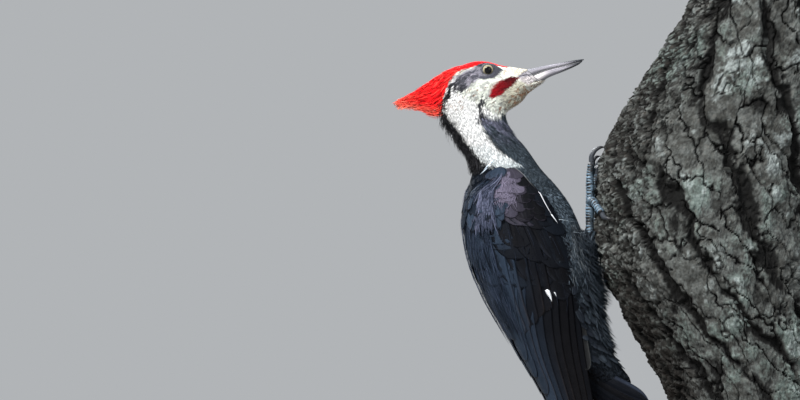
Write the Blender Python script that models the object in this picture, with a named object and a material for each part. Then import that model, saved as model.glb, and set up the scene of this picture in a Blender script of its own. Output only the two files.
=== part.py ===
"""Pileated woodpecker, male, clinging to a cut length of tree trunk on a plain display stand.

A still, life-size display model. The frame is +Z up, with the origin at the middle of the
underside of the base. The bird faces +X with its right side to -Y, and its belly lies
against the -X side of the trunk. Sizes are in millimetres and are turned to metres as each
mesh is written. The head, neck and torso are one loft, parted by thin plane gaps.
"""
import math

import bmesh
import bpy
import numpy as np

MM = 0.001
GAP = 0.3                      # clearance between pieces that touch
NEAR, FAR = 1, -1              # the bird's right side (towards -Y) and its left side

# ---------------------------------------------------------------- the bird's driving sizes
AXIS_Y = -3.0                  # the bird's long axis stands this far from the trunk's middle
ROLL = math.radians(18)        # the torso rolls its back towards -Y
ROLL_FROM, ROLL_TO = 6.0, 11.0   # stations between which the neck takes up that roll

# Stations from the bill's base to the root of the tail: back line x, z, front line x, z and
# the width across.
BODY = (
    (-147.0, 424.5, -135.5, 413.5, 17.0),     # 0 bill base and chin
    (-157.0, 425.8, -145.0, 406.5, 22.0),     # 1 forehead and upper throat
    (-168.0, 427.6, -152.0, 398.5, 26.5),     # 2 in front of the eye
    (-179.0, 430.5, -159.0, 393.8, 30.5),     # 3 eye
    (-191.0, 430.2, -163.5, 390.5, 34.0),     # 4 crown and cheek
    (-203.0, 425.0, -164.5, 387.5, 36.0),     # 5 back of the crown
    (-213.5, 413.5, -164.5, 384.5, 37.0),     # 6 hind head
    (-216.5, 394.0, -163.0, 380.0, 37.0),     # 7 nape under the crest
    (-209.5, 376.0, -159.0, 373.0, 37.5),     # 8 upper neck
    (-200.5, 360.5, -147.5, 361.0, 40.0),     # 9 middle of the neck
    (-191.5, 344.0, -134.5, 343.0, 47.0),     # 10 root of the neck
    (-191.5, 329.5, -123.0, 330.5, 58.0),     # 11 shoulders
    (-195.0, 312.0, -110.5, 314.0, 70.0),     # 12 upper breast
    (-194.5, 291.0, -101.0, 293.0, 77.0),     # 13 breast
    (-190.0, 268.5, -91.0, 266.0, 78.0),      # 14 belly
    (-179.0, 248.0, -86.0, 244.0, 73.0),      # 15 flanks
    (-162.0, 230.0, -85.5, 229.0, 65.0),      # 16 vent
    (-143.0, 214.0, -82.0, 212.5, 54.0),      # 17 rump
    (-124.0, 198.5, -76.5, 195.0, 42.0),      # 18 tail coverts
    (-108.0, 184.5, -69.0, 181.5, 32.0),      # 19 last coverts
    (-92.0, 170.5, -61.5, 171.0, 22.0),       # 20 their tips, over and under the tail
    (-80.0, 161.0, -60.0, 162.0, 9.0),        # 21 end of the coverts
)
# The lengths that the loft is parted into: first station, last station, rings and finish.
LENGTHS = {
    "head": (0.0, 7.0, 14, "face_plumage"),
    "neck": (7.0, 10.0, 6, "face_plumage"),
    "torso": (10.0, 21.0, 19, "slate_plumage"),
}
BODY_SIDES = 26
HEAD_SQUARE, BODY_SQUARE = 2.55, 2.1      # superellipse powers of the cross-sections

EYE_X, EYE_Z, EYE_OUT, EYE_RADIUS = -178.5, 424.2, 10.4, 5.4

# Crest stations: top line x, z, under line x, z and the width across.
CREST = (
    (-196.0, 429.0, -190.0, 416.0, 20.0),
    (-209.0, 424.5, -201.0, 405.0, 21.0),
    (-220.0, 418.5, -209.0, 394.5, 17.0),
    (-230.0, 411.5, -220.5, 387.5, 12.0),
    (-241.0, 404.5, -233.0, 393.0, 8.0),
    (-250.0, 400.0, -245.0, 394.5, 5.0),
    (-255.5, 396.5, -254.0, 393.5, 2.0),
)

# Bill stations for each half: ridge x, z, edge x, z and the width across.
BILL_UPPER = (
    (-145.8, 424.6, -141.3, 419.9, 13.5),
    (-131.0, 427.6, -129.5, 424.4, 10.8),
    (-116.5, 430.4, -115.5, 427.7, 8.0),
    (-105.0, 432.4, -104.5, 430.3, 4.6),
    (-99.5, 433.0, -99.3, 432.1, 1.8),
)
BILL_LOWER = (
    (-141.0, 419.5, -134.9, 413.9, 12.8),
    (-129.5, 424.0, -126.5, 418.5, 10.0),
    (-115.5, 427.3, -114.0, 423.5, 7.2),
    (-105.0, 429.9, -104.5, 427.9, 4.0),
    (-100.8, 431.6, -100.6, 430.8, 1.6),
)

# Folded wing stations, level cuts of the wing's outer surface: height, middle x, half depth,
# half width, and the angles round the body, in degrees, of its inner and its leading edge.
WING = (
    (347.5, -164.0, 24.0, 22.0, 55.0, 86.0),
    (338.0, -161.0, 30.0, 30.0, 39.0, 98.0),
    (322.0, -156.5, 40.0, 37.0, 10.0, 105.0),
    (286.0, -148.5, 50.5, 42.5, 3.0, 115.0),
    (246.0, -138.0, 49.0, 41.0, 3.0, 118.0),
    (198.0, -118.5, 42.0, 31.0, 2.0, 106.0),
    (150.0, -101.0, 31.0, 20.5, 2.0, 97.0),
    (126.0, -93.0, 20.0, 15.0, 3.0, 92.0),
    (117.0, -90.0, 10.0, 11.0, 10.0, 80.0),
)
WING_ROOT_THICK, WING_TIP_THICK, WING_EDGE_THICK = 9.0, 1.6, 1.2

# Tail stations: ridge x, z, the half width, and how far the outer feathers droop.
TAIL = (
    (-130.0, 202.0, 14.0, 12.0),
    (-106.0, 166.5, 21.0, 24.0),
    (-72.0, 140.0, 29.0, 28.0),
    (-34.0, 127.5, 27.0, 15.0),
)
TAIL_THICK, TAIL_EDGE_THICK, TAIL_WEDGE = 4.5, 1.2, 0.30

# ---------------------------------------------------------------- legs
STANCE = 22.0                  # half the distance between the feet
GRIP_Y = 12.0                  # middle of the grip on the bark
TARSUS_RADIUS, TOE_RADIUS, CLAW_RADIUS = 2.9, 2.8, 2.0
TOE_RINGS, CLAW_RINGS = 7, 6
# Thigh's root and knee: body station, distance out to the belly side and distance across.
THIGH = ((15.3, 20.0, 13.0), (14.1, 36.0, 17.0))
THIGH_RADII = (18.0, 14.5, 9.0, 5.2)
HEEL_Z, KNUCKLE_Z = 288.0, 316.5
FOOT_DROP = 7.0                # the far foot grips this much lower

# ---------------------------------------------------------------- the trunk and the stand
# Trunk stations: height, left edge x, right edge x and half the depth in y.
TRUNK = (
    (55.0, 6.0, 125.0, 66.0),
    (104.0, -12.0, 120.0, 68.0),
    (153.0, -30.5, 114.0, 71.0),
    (191.0, -48.5, 110.0, 75.0),
    (233.0, -72.0, 107.0, 80.0),
    (262.0, -86.0, 106.0, 83.0),
    (300.0, -89.8, 107.0, 84.0),
    (350.0, -85.8, 110.0, 81.0),
    (400.0, -61.0, 114.0, 75.0),
    (440.0, -36.0, 117.0, 69.0),
    (492.0, -4.0, 119.0, 63.0),
)
TRUNK_SIDES, TRUNK_ROWS = 44, 20
FURROWS, FURROW_TWIST, FURROW_DEPTH = 11, 0.0062, 5.0
CRACK_PITCH, CRACK_DEPTH = 74.0, 2.2

BASE_LENGTH, BASE_WIDTH, BASE_HEIGHT, BASE_CORNER, BASE_EDGE = 320.0, 220.0, 16.0, 14.0, 2.5
ROD_RADIUS, ROD_SIDES, ROD_X = 7.0, 16, (42.0, 92.0)

COLOURS = {
    "black_plumage": ((0.018, 0.020, 0.026), 0.62),
    "slate_plumage": ((0.040, 0.046, 0.055), 0.70),
    "face_plumage": ((0.62, 0.66, 0.68), 0.75),
    "red_crest": ((0.72, 0.025, 0.020), 0.65),
    "horn_bill": ((0.46, 0.43, 0.50), 0.38),
    "eye_glass": ((0.70, 0.62, 0.38), 0.08),
    "scaly_foot": ((0.16, 0.20, 0.30), 0.55),
    "horn_claw": ((0.09, 0.09, 0.10), 0.40),
    "bark": ((0.16, 0.15, 0.13), 0.92),
    "oiled_wood": ((0.20, 0.11, 0.06), 0.45),
    "steel_rod": ((0.42, 0.42, 0.43), 0.30),
}


# ---------------------------------------------------------------- helpers
def clear_scene():
    """Remove every object that the file opened with."""
    for item in list(bpy.data.objects):
        bpy.data.objects.remove(item, do_unlink=True)


def finish(name):
    """The named Principled material, made on first use."""
    material = bpy.data.materials.get(name)
    if material is None:
        colour, roughness = COLOURS[name]
        material = bpy.data.materials.new(name)
        material.use_nodes = True
        shader = material.node_tree.nodes["Principled BSDF"]
        shader.inputs["Base Color"].default_value = (*colour, 1.0)
        shader.inputs["Roughness"].default_value = roughness
        shader.inputs["Metallic"].default_value = 1.0 if name == "steel_rod" else 0.0
    return material


def spline(rows, t):
    """Rows read at t on a Catmull-Rom curve, where t = 0, 1, 2 ... are the rows themselves."""
    rows = np.asarray(rows, float)
    t = np.clip(np.atleast_1d(t), 0, len(rows) - 1)
    i = np.minimum(t.astype(int), len(rows) - 2)
    f = (t - i)[:, None]
    padded = np.vstack([2 * rows[0] - rows[1], rows, 2 * rows[-1] - rows[-2]])
    p0, p1, p2, p3 = (padded[i + k] for k in range(4))
    bend = 2 * p0 - 5 * p1 + 4 * p2 - p3 + f * (3 * (p1 - p2) + p3 - p0)
    return p1 + 0.5 * f * (p2 - p0 + f * bend)


def smoothstep(x):
    """Rise from 0 to 1 with level ends as x goes from 0 to 1."""
    x = np.clip(x, 0.0, 1.0)
    return x * x * (3.0 - 2.0 * x)


def add_mesh(name, points, faces, material, smooth_angle=50.0):
    """Write points, in millimetres, and faces as one object with its normals outwards."""
    mesh = bpy.data.meshes.new(name)
    mesh.from_pydata([tuple(p) for p in np.asarray(points) * MM], [], faces)
    shell = bmesh.new()
    shell.from_mesh(mesh)
    bmesh.ops.remove_doubles(shell, verts=shell.verts, dist=1e-7)
    bmesh.ops.triangulate(shell, faces=shell.faces)
    bmesh.ops.recalc_face_normals(shell, faces=shell.faces)
    if shell.calc_volume(signed=True) < 0:
        bmesh.ops.reverse_faces(shell, faces=shell.faces)
    shell.to_mesh(mesh)
    shell.free()
    mesh.shade_smooth()
    mesh.set_sharp_from_angle(angle=math.radians(smooth_angle))
    mesh.materials.append(finish(material))
    item = bpy.data.objects.new(name, mesh)
    bpy.context.scene.collection.objects.link(item)
    return item


def hide_tool(item):
    """Mark a cutter, so that it isn't part of the model."""
    item.hide_render = True
    item.display_type = "WIRE"
    return item


def combine(item, tool, operation):
    """Put an exact Boolean with a hidden tool on an object."""
    modifier = item.modifiers.new(f"{operation.lower()}_{tool.name}", "BOOLEAN")
    modifier.operation = operation
    modifier.solver = "EXACT"
    modifier.object = hide_tool(tool)


def grid_faces(rows, columns, closed):
    """Quads of a grid of points numbered row by row, closed round its columns or open."""
    last = columns if closed else columns - 1
    return [
        (r * columns + c, r * columns + (c + 1) % columns,
         (r + 1) * columns + (c + 1) % columns, (r + 1) * columns + c)
        for r in range(rows - 1) for c in range(last)
    ]


def loft(name, rings, material, smooth_angle=50.0):
    """A closed body through rings of points, with a fan of triangles over each end."""
    count, sides = rings.shape[:2]
    points = np.vstack([rings.reshape(-1, 3), rings[0].mean(0), rings[-1].mean(0)])
    faces = grid_faces(count, sides, True)
    first, last = count * sides, (count - 1) * sides
    faces += [(first, (c + 1) % sides, c) for c in range(sides)]
    faces += [(first + 1, last + c, last + (c + 1) % sides) for c in range(sides)]
    return add_mesh(name, points, faces, material, smooth_angle)


def plate(name, outer, inner, material):
    """A closed sheet between two grids of points, with its rim closed all round."""
    rows, columns = outer.shape[:2]
    count = rows * columns
    faces = grid_faces(rows, columns, False)
    faces += [tuple(i + count for i in reversed(face)) for face in grid_faces(rows, columns, False)]
    rim = [c for c in range(columns)]
    rim += [r * columns + columns - 1 for r in range(1, rows)]
    rim += [(rows - 1) * columns + c for c in range(columns - 2, -1, -1)]
    rim += [r * columns for r in range(rows - 2, 0, -1)]
    faces += [(a, a + count, b + count, b) for a, b in zip(rim, rim[1:] + rim[:1])]
    points = np.vstack([outer.reshape(-1, 3), inner.reshape(-1, 3)])
    return add_mesh(name, points, faces, material, 60.0)


def tube(name, path, radii, sides, material):
    """A round tube of changing radius along a path, with pointed fan ends."""
    path = np.asarray(path, float)
    tangent = np.gradient(path, axis=0)
    tangent /= np.linalg.norm(tangent, axis=1, keepdims=True)
    side = np.cross(tangent, (0.31, 0.86, 0.41))
    side /= np.linalg.norm(side, axis=1, keepdims=True)
    across = np.cross(tangent, side)
    angle = np.linspace(0, 2 * np.pi, sides, endpoint=False)
    circle = (np.cos(angle)[None, :, None] * side[:, None, :]
              + np.sin(angle)[None, :, None] * across[:, None, :])
    return loft(name, path[:, None, :] + np.asarray(radii)[:, None, None] * circle, material)


# ---------------------------------------------------------------- head, neck and torso
def body_frame(s):
    """Middle, dorsal and lateral directions, half depth, half width and power at s."""
    row = spline(BODY, s)
    up = (row[:, 0:2] - row[:, 2:4]) / 2
    middle = (row[:, 0:2] + row[:, 2:4]) / 2
    half_depth = np.linalg.norm(up, axis=1)
    up /= half_depth[:, None]
    s = np.atleast_1d(s)
    roll = ROLL * smoothstep((s - ROLL_FROM) / (ROLL_TO - ROLL_FROM))
    power = HEAD_SQUARE + (BODY_SQUARE - HEAD_SQUARE) * smoothstep((s - 3.0) / 5.0)
    cos, sin = np.cos(roll), np.sin(roll)
    centre = np.stack([middle[:, 0], np.full_like(s, AXIS_Y, float), middle[:, 1]], 1)
    dorsal = np.stack([up[:, 0] * cos, -sin, up[:, 1] * cos], 1)
    lateral = np.stack([-up[:, 0] * sin, -cos, -up[:, 1] * sin], 1)
    return centre, dorsal, lateral, half_depth, row[:, 4] / 2, power


def body_rings(s, grow=0.0):
    """Cross-sections of the body loft at s, grown outwards by a clearance."""
    centre, dorsal, lateral, depth, width, power = body_frame(s)
    angle = np.linspace(0, 2 * np.pi, BODY_SIDES, endpoint=False)[None, :]
    shape = 2.0 / power[:, None]
    cos = np.sign(np.cos(angle)) * np.abs(np.cos(angle)) ** shape
    sin = np.sign(np.sin(angle)) * np.abs(np.sin(angle)) ** shape
    return (centre[:, None, :]
            + ((depth + grow)[:, None] * cos)[:, :, None] * dorsal[:, None, :]
            + ((width + grow)[:, None] * sin)[:, :, None] * lateral[:, None, :])


def body_piece(name, length, grow=0.0):
    """One length of the body loft, drawn in by half a gap at each parting plane."""
    start, end, count, material = LENGTHS[length]
    s = np.linspace(start, end, count)
    rings = body_rings(s, grow)
    centre, dorsal, lateral = body_frame(s)[:3]
    backward = np.cross(dorsal, lateral)
    inset = GAP / 2 - grow
    rings[0] -= (inset if start > 0 else -grow) * backward[0]
    rings[-1] += inset * backward[-1]
    return loft(name, rings, material)


def torso_point(s, out, across):
    """A point of the torso at s: out towards the belly and across towards the right side."""
    centre, dorsal, lateral = (value[0] for value in body_frame(s)[:3])
    return centre - out * dorsal + across * lateral


def fit_to_body(item, *lengths):
    """Cut an object back to a clearance round the named lengths of the body."""
    for length in lengths:
        combine(item, body_piece(f"{item.name}_{length}_cutter", length, GAP), "DIFFERENCE")


def eyeball(name, side, radius):
    """A ball for one eye, or the cutter of its socket."""
    rows, sides = 8, 15
    lat = np.linspace(-np.pi / 2, np.pi / 2, rows + 2)[1:-1, None]
    lon = np.linspace(0, 2 * np.pi, sides, endpoint=False)[None, :]
    ball = np.stack([np.cos(lat) * np.cos(lon), np.sin(lat) + 0 * lon, np.cos(lat) * np.sin(lon)], 2)
    middle = np.array([EYE_X, AXIS_Y - side * EYE_OUT, EYE_Z])
    rings = middle + radius * ball
    points = np.vstack([rings.reshape(-1, 3), middle - (0, radius, 0), middle + (0, radius, 0)])
    faces = grid_faces(rows, sides, True)
    first, last = rows * sides, (rows - 1) * sides
    faces += [(first, (c + 1) % sides, c) for c in range(sides)]
    faces += [(first + 1, last + c, last + (c + 1) % sides) for c in range(sides)]
    return add_mesh(name, points, faces, "eye_glass")


def make_head():
    """Head with its two eye sockets, and the eyes in them."""
    head = body_piece("head", "head")
    for side, word in ((NEAR, "right"), (FAR, "left")):
        combine(head, eyeball(f"socket_{word}", side, EYE_RADIUS + GAP), "DIFFERENCE")
        eyeball(f"eye_{word}", side, EYE_RADIUS)


def line_rings(rows, t, sides, top_power, under_power):
    """Rings between a top line and an under line, with a power for each half's roundness."""
    row = spline(rows, t)
    top, under = row[:, 0:2], row[:, 2:4]
    middle, half = (top + under) / 2, (top - under) / 2
    angle = np.linspace(0, 2 * np.pi, sides, endpoint=False)[None, :]
    power = np.where(np.cos(angle) > 0, top_power, under_power)
    cos = np.sign(np.cos(angle)) * np.abs(np.cos(angle)) ** (2 / power)
    sin = np.sign(np.sin(angle)) * np.abs(np.sin(angle)) ** (2 / power)
    x = middle[:, 0:1] + half[:, 0:1] * cos
    y = AXIS_Y - row[:, 4:5] / 2 * sin
    z = middle[:, 1:2] + half[:, 1:2] * cos
    return np.stack([x, y, z], 2)


def make_crest():
    """Swept-back crest, fitted to the back of the head."""
    crest = loft("crest", line_rings(CREST, np.linspace(0, 6, 9), 16, 1.7, 1.9), "red_crest")
    fit_to_body(crest, "head", "neck")


def make_bill():
    """Upper and lower halves of the chisel bill, parted along the mouth line."""
    t = np.linspace(0, 4, 8)
    loft("bill_upper", line_rings(BILL_UPPER, t, 12, 1.45, 2.8), "horn_bill", 40.0)
    loft("bill_lower", line_rings(BILL_LOWER, t, 12, 2.8, 1.6), "horn_bill", 40.0)


# ---------------------------------------------------------------- wings and tail
def wing_points(row, share, side, inset):
    """Points across a level wing cut, from its inner edge to its leading edge."""
    height, middle, depth, width, inner, leading = row.T[:, :, None]
    angle = np.radians(inner + (leading - inner) * share[None, :])
    d, w = (depth - inset) * np.cos(angle), (width - inset) * np.sin(angle) * side
    x = middle - d * math.cos(ROLL) + w * math.sin(ROLL)
    y = AXIS_Y - d * math.sin(ROLL) - w * math.cos(ROLL)
    return np.stack([x, y, height + 0 * x], 2)


def make_wing(name, side):
    """Folded wing: a curved blade over the flank, thick at the shoulder and thin at the tips."""
    u = np.linspace(0, 1, 17)
    row = spline(WING, u * (len(WING) - 1))
    share = np.linspace(0, 1, 9)
    root = WING_ROOT_THICK + (WING_TIP_THICK - WING_ROOT_THICK) * smoothstep((u - 0.35) / 0.5)
    edge = np.minimum(share, 1 - share)[None, :]
    thick = WING_EDGE_THICK + (root[:, None] - WING_EDGE_THICK) * smoothstep(edge / 0.16)
    thick[0] = WING_EDGE_THICK * 2
    wing = plate(name, wing_points(row, share, side, 0.0), wing_points(row, share, side, thick),
                 "black_plumage")
    fit_to_body(wing, "neck", "torso")


def make_tail():
    """Stiff tail: a wedge of feathers, arched like a low roof, braced against the trunk."""
    across = np.linspace(-1, 1, 11)[None, :]
    reach = 1 - TAIL_WEDGE * np.abs(across) ** 1.6
    u = np.linspace(0, 1, 10)[:, None] * reach
    t = (u * (len(TAIL) - 1)).ravel()
    rows = spline(TAIL, t).reshape(*u.shape, 4)
    run = (spline(TAIL, t + 0.02) - spline(TAIL, t - 0.02)).reshape(*u.shape, 4)[..., 0:2]
    run /= np.linalg.norm(run, axis=2, keepdims=True)
    under = np.stack([-run[..., 1], run[..., 0]], 2)
    thick = TAIL_EDGE_THICK + (TAIL_THICK - TAIL_EDGE_THICK) * (1 - np.abs(across)) * (1 - 0.6 * u)

    def surface(depth):
        drop = rows[..., 3] * np.abs(across) ** 1.5 + depth
        lateral = rows[..., 2] * across
        x = rows[..., 0] + under[..., 0] * drop * math.cos(ROLL) + lateral * math.sin(ROLL)
        y = AXIS_Y + drop * math.sin(ROLL) - lateral * math.cos(ROLL)
        z = rows[..., 1] + under[..., 1] * drop * math.cos(ROLL)
        return np.stack([x, y, z], 2)

    tail = plate("tail", surface(0.0), surface(thick), "black_plumage")
    fit_to_body(tail, "torso")


# ---------------------------------------------------------------- trunk
def trunk_row(z):
    """Left edge, right edge and half depth of the trunk at the heights z."""
    heights = np.array([row[0] for row in TRUNK])
    t = np.interp(np.atleast_1d(z), heights, np.arange(len(TRUNK)))
    return spline(TRUNK, t)


def bark_x(y, z):
    """The x of the trunk's left side at a depth y and height z, before its furrows."""
    _, left, right, half_depth = trunk_row(z)[0]
    radius = (right - left) / 2
    return (left + right) / 2 - radius * math.sqrt(max(0.0, 1 - (y / half_depth) ** 2))


def make_trunk():
    """Cut length of trunk with a burl, slanting furrows and cross cracks, and flat sawn ends."""
    z = np.linspace(TRUNK[0][0], TRUNK[-1][0], TRUNK_ROWS)
    row = trunk_row(z)
    angle = np.linspace(0, 2 * np.pi, TRUNK_SIDES, endpoint=False)[None, :]
    wobble = 0.55 * np.sin(2 * angle + z[:, None] / 61) + 0.4 * np.sin(3 * angle - z[:, None] / 37)
    phase = FURROWS * (angle + FURROW_TWIST * z[:, None]) + wobble
    furrow = (0.5 + 0.5 * np.cos(phase)) ** 2.5
    crack = (0.5 + 0.5 * np.cos(2 * np.pi * z[:, None] / CRACK_PITCH + 3 * np.sin(angle * 4))) ** 4
    sunk = FURROW_DEPTH * furrow + CRACK_DEPTH * crack * (1 - furrow)
    radius_x, radius_y = (row[:, 2:3] - row[:, 1:2]) / 2 - sunk, row[:, 3:4] - sunk
    x = (row[:, 1:2] + row[:, 2:3]) / 2 + radius_x * np.cos(angle)
    rings = np.stack([x, radius_y * np.sin(angle), z[:, None] + 0 * x], 2)
    loft("perch", rings, "bark", 30.0)


# ---------------------------------------------------------------- legs
def leg_point(along, out, height, side):
    """A point beside the bark: out from it, and along its surface from the middle of the grip."""
    y = GRIP_Y - side * (STANCE + along)
    z = height - (FOOT_DROP if side == FAR else 0.0)
    return np.array([bark_x(y, z) - out, y, z])


def smooth_path(points, count):
    """Points spaced evenly by number along a smooth curve through the given ones."""
    return spline(points, np.linspace(0, len(points) - 1, count))


# Toes, numbered from the hind toe as in any bird: joints as along, out and height, outwards
# from the foot's middle, and then the claw's points. The outer toe turns out and down.
TOES = {
    1: (((-1.0, 5.0, 314.0), (-5.0, 4.6, 309.0), (-8.5, 3.9, 303.0)),
        ((-9.0, 3.8, 301.6), (-10.0, 3.4, 298.5), (-10.8, 0.9, 296.0))),
    2: (((-1.5, 5.0, 315.0), (-5.0, 5.2, 326.0), (-6.5, 5.6, 336.0), (-7.0, 4.8, 344.0)),
        ((-7.0, 5.0, 345.6), (-7.2, 6.0, 349.5), (-7.4, 4.4, 352.5), (-7.5, 0.9, 353.5))),
    3: (((0.0, 5.2, 315.0), (0.5, 5.4, 326.0), (0.5, 6.9, 337.0), (0.5, 7.6, 346.8)),
        ((0.5, 7.9, 348.6), (0.5, 9.3, 353.5), (0.5, 8.0, 358.3), (0.5, 4.4, 360.6),
         (0.5, 1.0, 360.4))),
    4: (((1.0, 5.0, 315.5), (8.0, 5.4, 317.0), (16.0, 4.9, 313.0), (23.0, 4.0, 307.0)),
        ((24.3, 4.0, 305.9), (28.0, 4.8, 303.6), (31.5, 3.8, 302.4), (33.5, 1.0, 302.0))),
}


def make_tarsus(name, side, grow=0.0):
    """Shank from the heel up to the knuckle of the toes, grown by a clearance as a cutter."""
    heel = leg_point(-1.0, 5.2, HEEL_Z - grow, side)
    knuckle = leg_point(0.0, 4.9, KNUCKLE_Z + grow, side)
    path = smooth_path([heel, (heel + knuckle) / 2 + (-0.6, 0, 0), knuckle], 6)
    radii = TARSUS_RADIUS * np.array([1.12, 1.0, 0.95, 1.0, 1.12, 0.75]) + 1.2 * grow
    return tube(name, path, radii, 9, "scaly_foot")


def make_foot(word, side):
    """Tarsus with its four toes as one body, and each claw as a body of its own."""
    foot = make_tarsus(f"foot_{word}", side)
    for number, (joints, claw) in TOES.items():
        toe_path = smooth_path([leg_point(*joint, side) for joint in joints], TOE_RINGS)
        swell = 1 + 0.09 * np.cos(np.linspace(0, 4 * np.pi, TOE_RINGS))
        toe_radii = TOE_RADIUS * swell * np.linspace(1.0, 0.82, TOE_RINGS)
        toe = tube(f"toe_{word}_{number}", toe_path, toe_radii, 8, "scaly_foot")
        combine(foot, toe, "UNION")
        claw_path = smooth_path([leg_point(*point, side) for point in claw], CLAW_RINGS)
        claw_radii = CLAW_RADIUS * (1 - 0.86 * np.linspace(0, 1, CLAW_RINGS) ** 1.4)
        tube(f"claw_{word}_{number}", claw_path, claw_radii, 7, "horn_claw")


def make_thigh(word, side):
    """Feathered thigh from the belly down to the heel, fitted to the torso."""
    heel = leg_point(-1.0, 5.2, HEEL_Z + 3.0, side)
    root, knee = (torso_point(s, out, side * across) for s, out, across in THIGH)
    path = smooth_path([root, knee, heel], 8)
    radii = np.interp(np.linspace(0, 1, 8), (0, 0.45, 0.8, 1), THIGH_RADII)
    thigh = tube(f"thigh_{word}", path, radii, 14, "slate_plumage")
    fit_to_body(thigh, "torso")
    combine(thigh, make_tarsus(f"tarsus_{word}_cutter", side, GAP), "DIFFERENCE")


# ---------------------------------------------------------------- stand
def make_stand():
    """Flat base with rounded corners and a small bevel, and two rods up to the trunk."""
    quarter = np.linspace(0, np.pi / 2, 5)
    outline = []
    for turn in range(4):
        sx, sy = (1, -1, -1, 1)[turn], (1, 1, -1, -1)[turn]
        angle = quarter + turn * np.pi / 2
        outline.append(np.stack([sx * (BASE_LENGTH / 2 - BASE_CORNER) + BASE_CORNER * np.cos(angle),
                                 sy * (BASE_WIDTH / 2 - BASE_CORNER) + BASE_CORNER * np.sin(angle)], 1))
    outline = np.vstack(outline)
    middle_out = 1 - BASE_EDGE / np.array([BASE_LENGTH / 2, BASE_WIDTH / 2])
    rings = [
        np.column_stack([outline * scale, np.full(len(outline), z)])
        for scale, z in ((1.0, 0.0), (1.0, BASE_HEIGHT - BASE_EDGE), (middle_out, BASE_HEIGHT))
    ]
    loft("stand_base", np.array(rings), "oiled_wood", 30.0)
    angle = np.linspace(0, 2 * np.pi, ROD_SIDES, endpoint=False)
    for word, x in zip(("inner", "outer"), ROD_X):
        ring = np.stack([x + ROD_RADIUS * np.cos(angle), ROD_RADIUS * np.sin(angle), 0 * angle], 1)
        ends = [ring + (0, 0, z) for z in (BASE_HEIGHT + GAP, TRUNK[0][0] - GAP)]
        loft(f"stand_rod_{word}", np.array(ends), "steel_rod", 30.0)


def main():
    """Build the whole model."""
    clear_scene()
    make_head()
    make_crest()
    make_bill()
    body_piece("neck", "neck")
    body_piece("torso", "torso")
    for word, side in (("right", NEAR), ("left", FAR)):
        make_wing(f"wing_{word}", side)
        make_foot(word, side)
        make_thigh(word, side)
    make_tail()
    make_trunk()
    make_stand()


main()
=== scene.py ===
"""Pileated woodpecker on a cut trunk: its finished surfaces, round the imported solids.

The bird's skin, feathers, bill, eyes and feet, the furrowed bark and the display stand are
worked out with numpy as surfaces of two parameters. Every table is in millimetres in the
frame of the solids, +Z up with the origin under the base, and is turned to metres as a mesh
is written. The bird's right side faces -Y.
"""

import logging
import math
from collections.abc import Callable
from dataclasses import dataclass
from enum import Enum
from functools import cache
from typing import ClassVar

import bpy
import numpy as np
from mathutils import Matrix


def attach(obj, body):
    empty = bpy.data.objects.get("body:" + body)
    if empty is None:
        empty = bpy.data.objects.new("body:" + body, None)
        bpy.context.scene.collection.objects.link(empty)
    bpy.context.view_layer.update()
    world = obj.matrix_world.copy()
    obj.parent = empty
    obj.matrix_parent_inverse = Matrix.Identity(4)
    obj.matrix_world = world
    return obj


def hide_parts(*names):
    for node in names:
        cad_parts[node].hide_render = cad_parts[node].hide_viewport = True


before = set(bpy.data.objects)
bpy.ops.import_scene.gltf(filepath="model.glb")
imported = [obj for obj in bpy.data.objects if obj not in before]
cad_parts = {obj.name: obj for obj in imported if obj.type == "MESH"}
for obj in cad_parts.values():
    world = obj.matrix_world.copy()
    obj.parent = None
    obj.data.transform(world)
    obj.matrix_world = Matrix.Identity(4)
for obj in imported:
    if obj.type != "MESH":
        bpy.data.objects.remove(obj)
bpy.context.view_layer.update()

log = logging.getLogger("woodpecker")
Array = np.ndarray
Surface = tuple[Array, Array]
Socket = bpy.types.NodeSocket
MM = 0.001
ROOT = "root"
TURN = 2 * np.pi


# ------------------------------------------------------------------ numbers and curves
def spline(rows: Array, t: Array) -> Array:
    """Read rows at t on a Catmull-Rom curve, where t = 0, 1, 2 ... are the rows themselves.

    Args:
        rows: table of rows, one per knot.
        t: places along the table, of any shape.

    Returns:
        The values, with the table's columns as the last axis.
    """
    rows = np.asarray(rows, float)
    t = np.clip(np.asarray(t, float), 0, len(rows) - 1)
    i = np.minimum(t.astype(int), len(rows) - 2)
    f = (t - i)[..., None]
    padded = np.vstack([2 * rows[0] - rows[1], rows, 2 * rows[-1] - rows[-2]])
    p0, p1, p2, p3 = (padded[i + k] for k in range(4))
    bend = 2 * p0 - 5 * p1 + 4 * p2 - p3 + f * (3 * (p1 - p2) + p3 - p0)
    return p1 + 0.5 * f * (p2 - p0 + f * bend)


def table(x: Array, rows: tuple) -> Array:
    """Values at x on straight lines through a table of pairs."""
    return np.interp(x, *zip(*rows))


def smoothstep(x: Array) -> Array:
    """Rise from 0 to 1 with level ends as x goes from 0 to 1."""
    x = np.clip(x, 0.0, 1.0)
    return x * x * (3.0 - 2.0 * x)


def rise(x: Array, start: Array | float, span: float) -> Array:
    """Smooth step from 0 at the start to 1 a span further on."""
    return smoothstep((x - start) / span)


def fall(x: Array, end: Array | float, span: float) -> Array:
    """Smooth step from 1 a span before the end to 0 at the end."""
    return smoothstep((end - x) / span)


def edge(x: Array, at: Array | float, span: float) -> Array:
    """Smooth step from 0 to 1 over a span with its middle at the given x."""
    return smoothstep(0.5 + (x - at) / span)


def unit(v: Array) -> Array:
    """Vectors scaled to a length of one along the last axis."""
    return v / np.maximum(np.linalg.norm(v, axis=-1, keepdims=True), 1e-12)


def superellipse(b: Array, power: Array | float) -> tuple[Array, Array]:
    """Cosine and sine of b raised to 2 / power with their signs kept."""
    cos, sin = np.cos(b), np.sin(b)
    return np.sign(cos) * np.abs(cos) ** (2 / power), np.sign(sin) * np.abs(sin) ** (2 / power)


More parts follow.
